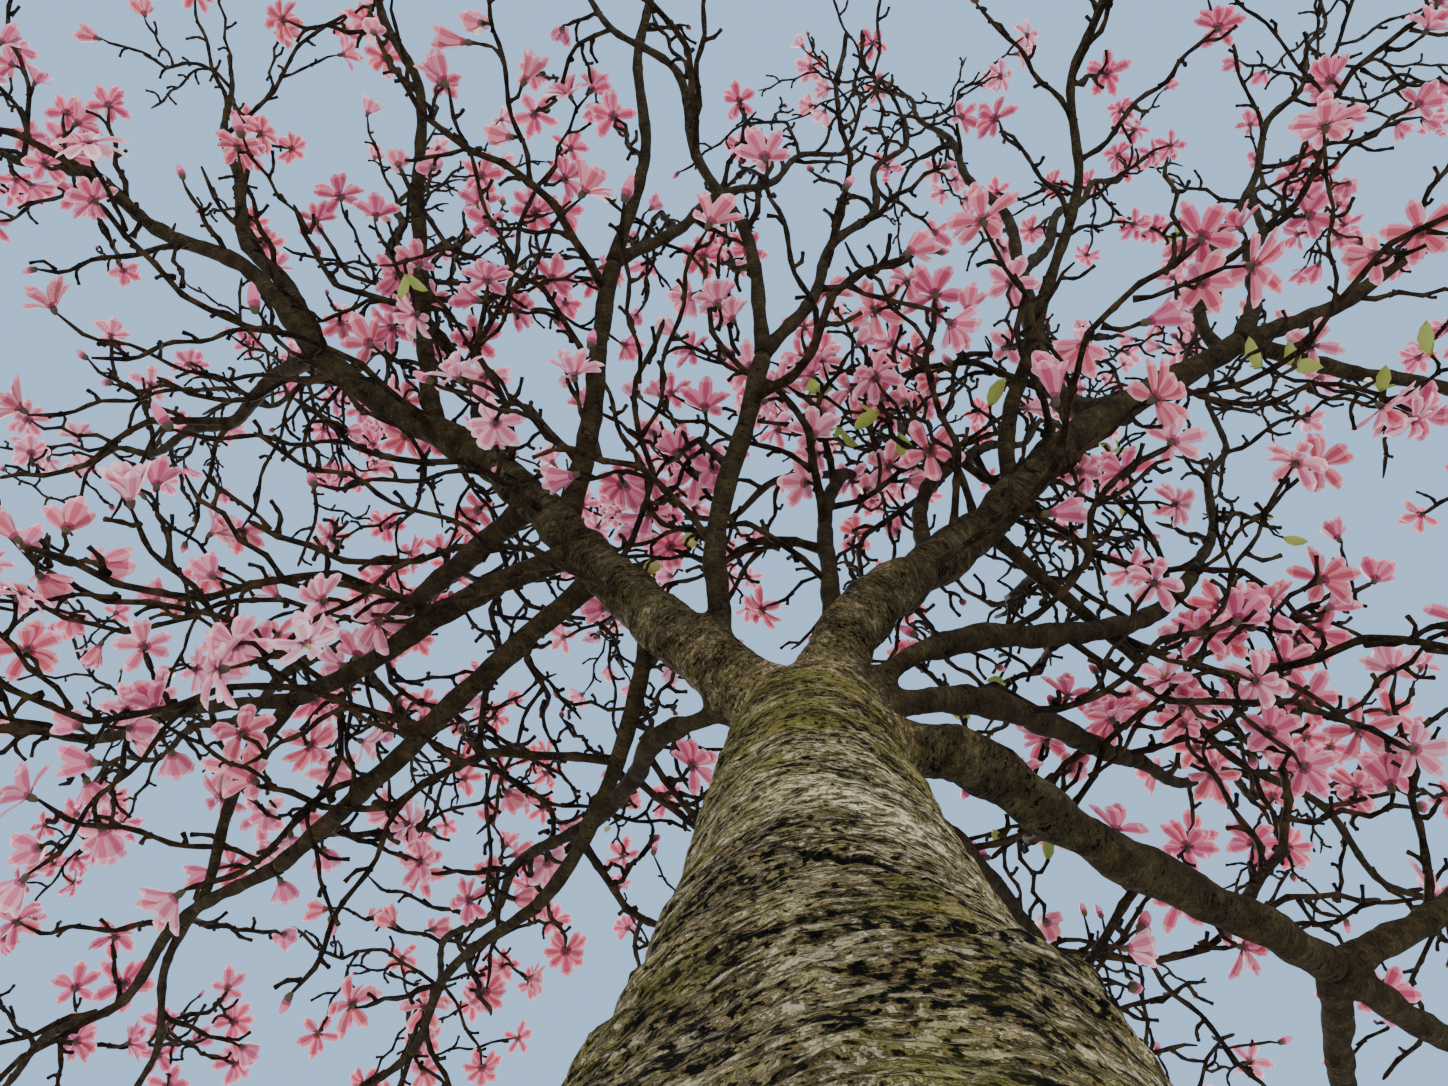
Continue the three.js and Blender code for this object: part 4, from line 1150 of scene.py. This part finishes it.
TEPAL_LENGTH = 0.07
TEPAL_WIDTH = 0.037
TEPAL_THICKNESS = 0.0011
TEPAL_FOOT = 0.006  # how far from the flower's axis a tepal starts
TEPAL_POINT = 0.06  # how much longer it is in the middle than at its sides
TEPAL_STATIONS = (0, 0.17, 0.5, 0.82, 1)
TEPAL_WIDTHS = (0.24, 0.5, 0.94, 0.96, 0.46)
TEPAL_COLUMNS = (("l", -1), ("a", -0.42), ("b", 0.42), ("r", 1))
# The two rings of tepals: how many, how far up the axis they start, and how large they are
TEPAL_RINGS = ((5, 0.002, 1.0), (4, 0.005, 0.92))
# How a flower opens: how far its outer tepals lean from its axis at their feet and curl beyond, and its inner
# ones, in degrees
OPENINGS = [
    (62, 34, 30, 28), (70, 26, 40, 30), (48, 38, 26, 30), (36, 34, 18, 22),
    (28, 40, 12, 26), (44, 24, 24, 18), (88, 34, 52, 34), (98, 26, 62, 30),
    (78, 12, 44, 26), (20, 10, 9, 8), (26, 4, 13, 8), (16, 20, 8, 14),
]
# The bands of colour, and those of a tepal from its foot to its tip: deepest at the foot and along the
# middle of the outside, and palest at the edges and inside
FOOT, OUTSIDE, SHOULDER, TIP, STAMENS, PISTIL, SCALE = range(7)
INSIDE_MIDDLE = (OUTSIDE, SHOULDER, SHOULDER, TIP)
INSIDE_EDGES = (SHOULDER, TIP, TIP, TIP)
OUTSIDE_MIDDLE = (FOOT, OUTSIDE, OUTSIDE, SHOULDER)
OUTSIDE_EDGES = (FOOT, SHOULDER, SHOULDER, TIP)
# The round parts in a flower's middle, as rings of a radius at a height
SCALE_RINGS = [(0, -0.016), (0.0045, -0.014), (0.0085, -0.005), (0.008, 0.003), (0, 0.005)]
STAMEN_RINGS = [(0, 0.003), (0.0085, 0.006), (0.0095, 0.012), (0, 0.013)]
PISTIL_RINGS = [(0, 0.01), (0.0055, 0.014), (0.0048, 0.022), (0, 0.029)]
MIDDLE_SIDES = 6


def tepal(dice, azimuth, lean, curl, length, width, start):
    """One tepal as a closed, lens-thin leaf: its points, faces, bands of colour, and the edges of its rim."""
    cup = dice.between(0.25, 0.45)
    wave = dice.between(-0.12, 0.12)
    radial = Vector((math.cos(azimuth), math.sin(azimuth), 0))
    across = Vector((math.sin(azimuth), -math.cos(azimuth), 0))
    place = radial * TEPAL_FOOT + UP * start
    points, rows = [], []
    for i, (v, w) in enumerate(zip(TEPAL_STATIONS, TEPAL_WIDTHS)):
        angle = math.radians(lean + curl * v)
        ahead = radial * math.sin(angle) + UP * math.cos(angle)
        inward = UP * math.sin(angle) - radial * math.cos(angle)
        if i:
            place = place + ahead * (length * (v - TEPAL_STATIONS[i - 1]))
        half = width / 2 * w
        row = {}
        for key, u in TEPAL_COLUMNS:
            rise = cup * half * u * u + wave * half * u * v
            tongue = TEPAL_POINT * length * (1 - u * u) if i == len(TEPAL_STATIONS) - 1 else 0
            base = place + across * (u * half) + inward * rise + ahead * tongue
            if key in "lr" or i in (0, len(TEPAL_STATIONS) - 1):
                row[key] = row[key + "'"] = len(points)
                points.append(base)
            else:
                row[key] = len(points)
                points.append(base + inward * TEPAL_THICKNESS)
                row[key + "'"] = len(points)
                points.append(base - inward * TEPAL_THICKNESS)
        rows.append(row)
    faces, bands, rim = [], [], []
    for i, (low, high) in enumerate(zip(rows, rows[1:])):
        for p, q in (("l", "a"), ("a", "b"), ("b", "r")):
            midrib = p == "a"
            faces.append((low[p], low[q], high[q], high[p]))
            bands.append((INSIDE_MIDDLE if midrib else INSIDE_EDGES)[i])
            faces.append((low[p + "'"], high[p + "'"], high[q + "'"], low[q + "'"]))
            bands.append((OUTSIDE_MIDDLE if midrib else OUTSIDE_EDGES)[i])
        rim += [(low["l"], high["l"]), (low["r"], high["r"])]
    rim += [(rows[-1][p], rows[-1][q]) for p, q in (("l", "a"), ("a", "b"), ("b", "r"))]
    return points, faces, bands, rim


def lathe(profile, sides):
    """A closed round of rings (radius, height), the first and last of no radius."""
    points = [Vector((0, 0, profile[0][1]))]
    for radius, height in profile[1:-1]:
        points += [Vector((radius * math.cos(a), radius * math.sin(a), height))
                   for a in (2 * math.pi * j / sides for j in range(sides))]
    points.append(Vector((0, 0, profile[-1][1])))
    rings = len(profile) - 2
    faces = [(0, 1 + (j + 1) % sides, 1 + j) for j in range(sides)]
    for i in range(rings - 1):
        low, high = 1 + i * sides, 1 + (i + 1) * sides
        for j in range(sides):
            k = (j + 1) % sides
            faces.append((low + j, low + k, high + k, high + j))
    top = 1 + (rings - 1) * sides
    faces += [(len(points) - 1, top + j, top + (j + 1) % sides) for j in range(sides)]
    return points, faces


def shape_object(name, parts, group):
    """One shape of parts (points, faces, bands and sharp edges), kept in a group of shapes for the trees."""
    points, faces, bands, sharp = [], [], [], set()
    for part_points, part_faces, part_bands, part_rim in parts:
        offset = len(points)
        points += part_points
        faces += [tuple(v + offset for v in f) for f in part_faces]
        bands += part_bands
        sharp |= {tuple(sorted((a + offset, b + offset))) for a, b in part_rim}
    mesh = bpy.data.meshes.new(name)
    mesh.from_pydata([tuple(p) for p in points], [], faces)
    mesh.attributes.new("band", "INT", "FACE").data.foreach_set("value", np.array(bands, np.int32))
    edges = np.zeros(len(mesh.edges) * 2, np.int32)
    mesh.edges.foreach_get("vertices", edges)
    is_sharp = np.array([tuple(sorted(e)) in sharp for e in edges.reshape(-1, 2).tolist()], bool)
    mesh.attributes.new("sharp_edge", "BOOLEAN", "EDGE").data.foreach_set("value", is_sharp)
    shade_smooth(mesh)
    group.objects.link(bpy.data.objects.new(name, mesh))


flower_shapes = bpy.data.collections.new("flower shapes")
for number, (lean, curl, inner_lean, inner_curl) in enumerate(OPENINGS):
    dice = Dice(300 + 17 * number)
    parts = []
    for ring, ((count, start, size), ring_lean, ring_curl) in enumerate(
            zip(TEPAL_RINGS, (lean, inner_lean), (curl, inner_curl))):
        for k in range(count):
            azimuth = 2 * math.pi * (k + 0.5 * ring + dice.between(-0.12, 0.12)) / count
            own_lean = ring_lean + dice.between(-13, 13)
            own_curl = ring_curl + dice.between(-18, 18)
            length = TEPAL_LENGTH * size * dice.between(0.9, 1.12)
            width = TEPAL_WIDTH * dice.between(0.85, 1.12)
            parts.append(tepal(dice, azimuth, own_lean, own_curl, length, width, start))
    for profile, band in ((SCALE_RINGS, SCALE), (STAMEN_RINGS, STAMENS), (PISTIL_RINGS, PISTIL)):
        points, faces = lathe(profile, MIDDLE_SIDES)
        parts.append((points, faces, [band] * len(faces), []))
    shape_object("flower_%02d" % number, parts, flower_shapes)


def band_tree(name, bands):
    """Shapes set on points: picked, turned and sized as each point says, with each band in its material."""
    tree = bpy.data.node_groups.new(name, "GeometryNodeTree")
    tree_input(tree, "Points", "NodeSocketGeometry")
    tree_input(tree, "Shapes", "NodeSocketCollection")
    tree_input(tree, "Size", "NodeSocketFloat", 1.0)
    for band in bands:
        tree_input(tree, band, "NodeSocketMaterial")
    tree.interface.new_socket(name="Sprays", in_out="OUTPUT", socket_type="NodeSocketGeometry")
    given = add_node(tree, "NodeGroupInput").outputs
    shapes = add_node(tree, "GeometryNodeCollectionInfo", {
        "Collection": given["Shapes"], "Separate Children": True, "Reset Children": True})
    own = {}
    for key, kind in (("kind", "INT"), ("turn", "QUATERNION"), ("size", "FLOAT"), ("band", "INT")):
        own[key] = add_node(tree, "GeometryNodeInputNamedAttribute", {"Name": key},
                            data_type=kind).outputs["Attribute"]
    scale = add_node(tree, "ShaderNodeMath", {0: own["size"], 1: given["Size"]},
                     operation="MULTIPLY").outputs[0]
    set_out = add_node(tree, "GeometryNodeInstanceOnPoints", {
        "Points": given["Points"], "Instance": shapes.outputs["Instances"], "Pick Instance": True,
        "Instance Index": own["kind"], "Rotation": own["turn"], "Scale": scale}).outputs["Instances"]
    made = add_node(tree, "GeometryNodeRealizeInstances", {"Geometry": set_out}).outputs[0]
    for number, band in enumerate(bands):
        chosen = add_node(tree, "FunctionNodeCompare", {2: own["band"], 3: number},
                          data_type="INT", operation="EQUAL").outputs["Result"]
        made = add_node(tree, "GeometryNodeSetMaterial", {
            "Geometry": made, "Selection": chosen, "Material": given[band]}).outputs[0]
    add_node(tree, "NodeGroupOutput", {"Sprays": made})
    return tree


def point_object(name, rows):
    """Points with the kind, turn and size of what grows on each."""
    mesh = bpy.data.meshes.new(name)
    mesh.from_pydata([tuple(r["at"]) for r in rows], [], [])
    store(mesh, "kind", "INT", np.array([r["kind"] for r in rows]))
    store(mesh, "size", "FLOAT", np.array([r["size"] for r in rows]))
    store(mesh, "turn", "QUATERNION", np.array([tuple(r["turn"]) for r in rows]))
    made = bpy.data.objects.new(name, mesh)
    bpy.context.scene.collection.objects.link(made)
    return made


def facing(axis, spin):
    """The turn that stands a shape on its axis, spun round it."""
    return UP.rotation_difference(axis) @ Quaternion(UP, spin)


# Where shoots end in flowers: how likely each order of wood is to, and how flowers crowd. They come in
# sprays with open sky between them, by two waves of so many to a metre, each of its own strength and shift,
# and are thick to the top of the crown.
FLOWER_CHANCES = {STEM: 1.0, BRANCH: 0.95, TWIG: 0.85, SPUR: 0.16}
SPRAY_WAVES = ((1.1, 1.0, (42, 68, 81)), (1.7, 0.8, (31, 81, 67)))
THICK_ABOVE = 3.2
THICKENING = 0.1
MOST_CROWDED = 0.6
PLAIN_CROWDING = 0.58
CROWDING_WEIGHT = 3
FLOWER_SPACING = 0.1
FLOWER_REACH = 0.06
FLOWER_CLEARANCE = 0.045
FLOWER_MIDDLE = 0.03
FLOWER_STALK = 0.012
AHEAD_WEIGHT = 1.4  # how much a flower looks along its twig rather than up or aside
BUD_CHANCE = 0.5
LEAF_CHANCE = 0.032
BUDS = ((0.0115, 0.052), (0.014, 0.062), (0.009, 0.038))  # the kinds of bud: how thick and how long
FULL_TURN = 6.28

blossoms, buds, leaf_tips = [], [], []
taken = np.zeros((0, 3))
for shoot in sorted(shoots, key=lambda s: s["order"]):
    dice = Dice(child_seed(shoot["dice"].state, 77))
    tip = shoot["points"][-1]
    ahead = (tip - shoot["points"][-2]).normalized()
    aside = Vector((dice.throw() - 0.5, dice.throw() - 0.5, 0.3 + 0.5 * dice.throw()))
    axis = (ahead * AHEAD_WEIGHT + aside).normalized()
    middle = np.array([tuple(tip + axis * FLOWER_MIDDLE)])
    waves = sum(strength * noise.noise(tip * marks + Vector(shift)) for marks, strength, shift in SPRAY_WAVES)
    crowding = waves + THICKENING * max(tip.z - THICK_ABOVE, 0)
    crowding = min(max(crowding, -MOST_CROWDED), MOST_CROWDED)
    chance = FLOWER_CHANCES[shoot["order"]] * min(max(PLAIN_CROWDING + CROWDING_WEIGHT * crowding, 0.1), 1.6)
    apart = FLOWER_SPACING * (1 - 0.5 * crowding)
    spaced = len(taken) == 0 or np.linalg.norm(taken - middle, axis=1).min() > apart
    blooms = dice.throw() < chance and spaced and in_crown(middle, FLOWER_REACH)
    if blooms and limb_clearance(middle)[0] > FLOWER_CLEARANCE:
        taken = np.vstack([taken, middle])
        blossoms.append({"at": tip + axis * FLOWER_STALK, "kind": int(dice.throw() * len(OPENINGS)),
                         "size": dice.between(0.78, 1.02), "turn": facing(axis, dice.between(0, FULL_TURN)),
                         "spray": shoot["mass"].number if shoot["mass"] else int(dice.throw() * len(masses))})
    elif shoot["order"] == TWIG and dice.throw() < BUD_CHANCE:
        buds.append({"at": tip, "kind": int(dice.throw() * len(BUDS)), "size": dice.between(0.7, 1.1),
                     "turn": facing(axis, dice.between(0, FULL_TURN))})
    elif dice.throw() < LEAF_CHANCE:
        leaf_tips.append((tip, axis, dice))

# Petal flesh: thin, moist and matt, with light coming through it. Each pink is dealt out to whole sprays,
# as the colours of its foot, outside, shoulder and tip.
TINTS = {
    "rose": ("#a02f57", "#bf4d6f", "#d6788f", "#eaa3b4"),
    "pink": ("#ab3c62", "#c85a7b", "#de879c", "#f2b3c0"),
    "pale": ("#b85270", "#d4768f", "#e9a1b1", "#fac8d0"),
    "warm": ("#a93c55", "#c7586e", "#de8593", "#f2aeb7"),
}


def petal_material(name, colour):
    material, _, shader = new_material(name)
    shader.inputs["Base Color"].default_value = hex_colour(colour)
    shader.inputs["Roughness"].default_value = 0.55
    shader.inputs["Specular IOR Level"].default_value = 0.3
    shader.inputs["Subsurface Weight"].default_value = 0.35
    shader.inputs["Subsurface Radius"].default_value = (1.0, 0.45, 0.5)
    shader.inputs["Subsurface Scale"].default_value = 0.006
    shader.inputs["Sheen Weight"].default_value = 0.12
    return material


def plain_material(name, colour, roughness):
    material, _, shader = new_material(name)
    shader.inputs["Base Color"].default_value = hex_colour(colour)
    shader.inputs["Roughness"].default_value = roughness
    return material


stamen_skin = plain_material("stamen_skin", "#8c3f55", 0.6)
pistil_skin = plain_material("pistil_skin", "#9c9a55", 0.6)
scale_felt = plain_material("bud_scale_felt", "#4c3f2c", 0.95)
blossom_tree = band_tree("blossoms", ("Foot", "Outside", "Shoulder", "Tip", "Stamens", "Pistil", "Scale"))
for number, (tint, colours) in enumerate(TINTS.items()):
    skins = [petal_material("petal_%s_%s" % (tint, part), colour)
             for part, colour in zip(("foot", "outside", "shoulder", "tip"), colours)]
    # sprays that are neighbours in the list get different pinks
    rows = [b for b in blossoms if b["spray"] * 7 % len(TINTS) == number]
    piece = grow(point_object("blossoms_" + tint, rows), blossom_tree, Shapes=flower_shapes, Size=1.0,
                 Foot=skins[FOOT], Outside=skins[OUTSIDE], Shoulder=skins[SHOULDER], Tip=skins[TIP],
                 Stamens=stamen_skin, Pistil=pistil_skin, Scale=scale_felt)
    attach(piece, "root")
    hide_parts(*mass_names)

# Buds that are still shut: slim rose spindles of wrapped tepals, in the felted scale that they burst. They
# are fluted, twisted and a little bent, and darker in their lower part.

# A bud's rings, as shares of its thickness and length
BUD_RINGS = ((0, 0), (0.7, 0.08), (1, 0.3), (0.92, 0.55), (0.5, 0.85), (0, 1))
BUD_SIDES = 7
BUD_TWIST = 9  # radians to a metre, and the same for how its three flutes turn
BUD_FLUTES = 3
BUD_FLUTE_DEPTH = 0.12
BUD_FLUTE_TWIST = 40
BUD_BEND = 0.1
BUD_DARK_SHARE = 0.4
BUD_FOOT, BUD_OUTSIDE, BUD_SCALE = range(3)

bud_shapes = bpy.data.collections.new("bud shapes")
for number, (stout, long) in enumerate(BUDS):
    points, faces = lathe([(radius * stout, height * long) for radius, height in BUD_RINGS], BUD_SIDES)
    for p in points:
        twist = BUD_TWIST * p.z
        bulge = 1 + BUD_FLUTE_DEPTH * math.cos(BUD_FLUTES * math.atan2(p.y, p.x) + BUD_FLUTE_TWIST * p.z)
        p.x, p.y = (bulge * (p.x * math.cos(twist) - p.y * math.sin(twist)),
                    bulge * (p.x * math.sin(twist) + p.y * math.cos(twist)))
        p.x += BUD_BEND * p.z
    dark_to = BUD_DARK_SHARE * long
    bands = [BUD_FOOT if max(points[v].z for v in f) < dark_to else BUD_OUTSIDE for f in faces]
    scale_points, scale_faces = lathe([(0, -0.01), (0.55 * stout, -0.007), (0.85 * stout, 0.05 * long),
                                       (0.8 * stout, 0.14 * long), (0, 0.16 * long)], MIDDLE_SIDES)
    scale = (scale_points, scale_faces, [BUD_SCALE] * len(scale_faces), [])
    shape_object("bud_%02d" % number, [(points, faces, bands, []), scale], bud_shapes)
bud_tree = band_tree("buds", ("Foot", "Outside", "Scale"))
piece = grow(point_object("buds", buds), bud_tree, Shapes=bud_shapes, Size=1.0, Scale=scale_felt,
             Foot=petal_material("petal_bud_foot", "#a83a62"),
             Outside=petal_material("petal_bud_outside", "#d4708f"))
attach(piece, "root")
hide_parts(*mass_names)

# The first leaves: small, soft and yellow-green, oval with a folded midrib, one to three at a twig's tip.

# The kinds of leaf: how long, how wide, and how many degrees they droop
LEAVES = ((0.062, 0.03, 20), (0.078, 0.037, 34), (0.046, 0.022, 8))
LEAF_STATIONS = (0, 0.25, 0.55, 0.82, 1)
LEAF_WIDTHS = (0.08, 0.78, 1.0, 0.62, 0.03)
LEAF_LEAN = 25
LEAF_FOLD = 0.35
LEAF_THICKNESS = 0.0005
LEAF_TURN = 2.1
MOST_LEAVES = 3

leaf_shapes = bpy.data.collections.new("leaf shapes")
for number, (long, wide, droop) in enumerate(LEAVES):
    points, rows = [], []
    place = Vector((0, 0, 0))
    for i, (v, w) in enumerate(zip(LEAF_STATIONS, LEAF_WIDTHS)):
        angle = math.radians(LEAF_LEAN + droop * v)
        ahead = Vector((math.sin(angle), 0, math.cos(angle)))
        up = Vector((-math.cos(angle), 0, math.sin(angle)))
        if i:
            place = place + ahead * (long * (v - LEAF_STATIONS[i - 1]))
        half = wide / 2 * w
        folded = place + up * (LEAF_FOLD * half)
        row = {"l": len(points), "l'": len(points), "m": len(points) + 1, "m'": len(points) + 2,
               "r": len(points) + 3, "r'": len(points) + 3}
        points += [folded + Vector((0, half, 0)), place + up * LEAF_THICKNESS, place - up * LEAF_THICKNESS,
                   folded - Vector((0, half, 0))]
        rows.append(row)
    faces, rim = [], []
    for low, high in zip(rows, rows[1:]):
        for p, q in (("l", "m"), ("m", "r")):
            faces.append((low[p], low[q], high[q], high[p]))
            faces.append((low[p + "'"], high[p + "'"], high[q + "'"], low[q + "'"]))
        rim += [(low["l"], high["l"]), (low["r"], high["r"])]
    for row, flip in ((rows[0], False), (rows[-1], True)):
        ends = [(row["l"], row["m'"], row["m"]), (row["r"], row["m"], row["m'"])]
        faces += [f[::-1] if flip else f for f in ends]
    shape_object("leaf_%02d" % number, [(points, faces, [0] * len(faces), rim)], leaf_shapes)

leaf_rows = []
for tip, axis, dice in leaf_tips:
    spin = dice.between(0, FULL_TURN)
    for k in range(1 + int(dice.throw() * MOST_LEAVES)):
        leaf_rows.append({"at": tip, "kind": int(dice.throw() * len(LEAVES)), "size": dice.between(0.7, 1.15),
                          "turn": facing(axis, spin + LEAF_TURN * k)})
leaf_skin = plain_material("young_leaf_skin", "#8f9a3c", 0.5)
leaf_tree = band_tree("leaves", ("Leaf",))
piece = grow(point_object("leaves", leaf_rows), leaf_tree, Shapes=leaf_shapes, Size=1.0, Leaf=leaf_skin)
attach(piece, "root")
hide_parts(*mass_names)

# The floor, the light and the camera: a pale studio, lit softly from above and around. The camera lies near
# the ground beside the trunk and looks up along it, as the photograph was taken.

FLOOR_HALF = 400
FLOOR_DROP = 0.001  # so far below the cut under the trunk, which would flicker in the same plane
floor_corners = [(x * FLOOR_HALF, y * FLOOR_HALF, 0) for x, y in ((-1, -1), (1, -1), (1, 1), (-1, 1))]
floor = mesh_object("floor", floor_corners, [(0, 1, 2, 3)])
floor.location.z = -FLOOR_DROP
floor.data.materials.append(plain_material("floor_paint", "#d9d8d4", 0.8))

world = bpy.data.worlds.new("studio")
world.use_nodes = True
world.node_tree.nodes["Background"].inputs["Color"].default_value = hex_colour("#aacff5")
world.node_tree.nodes["Background"].inputs["Strength"].default_value = 1.15
bpy.context.scene.world = world

# two wide soft lamps that light the whole floor alike: one high on the left, one low on the right
for name, place, power, width, colour in (
        ("lamp above", (-3, 2.5, 10), 5.6, 40, "#fff4e6"),
        ("lamp low", (4.1, -6.2, 0.6), 2.6, 35, "#fff8f0")):
    light = bpy.data.lights.new(name, "SUN")
    light.angle = math.radians(width)
    light.energy = power
    light.color = hex_colour(colour)[:3]
    holder = bpy.data.objects.new(name, light)
    holder.rotation_mode = "QUATERNION"
    holder.rotation_quaternion = (-Vector(place)).to_track_quat("-Z", "Y")
    bpy.context.scene.collection.objects.link(holder)

IMAGE_WIDTH = 1448
FOCAL_PIXELS = 1060
SENSOR_WIDTH = 36
CAMERA_PLACE = (0, -0.425, 0.12)
CAMERA_TURNS = (176.976, -2.858, 8.523)  # degrees about X, Y and Z: it looks up, with its top towards -Y
camera = bpy.data.objects.new("camera", bpy.data.cameras.new("camera"))
camera.data.sensor_fit = "HORIZONTAL"
camera.data.sensor_width = SENSOR_WIDTH
camera.data.lens = SENSOR_WIDTH * FOCAL_PIXELS / IMAGE_WIDTH
camera.data.clip_start = 0.01
turned = Euler([math.radians(turn) for turn in CAMERA_TURNS], "XYZ").to_matrix().to_4x4()
camera.matrix_world = Matrix.Translation(CAMERA_PLACE) @ turned
bpy.context.scene.collection.objects.link(camera)
bpy.context.scene.camera = camera
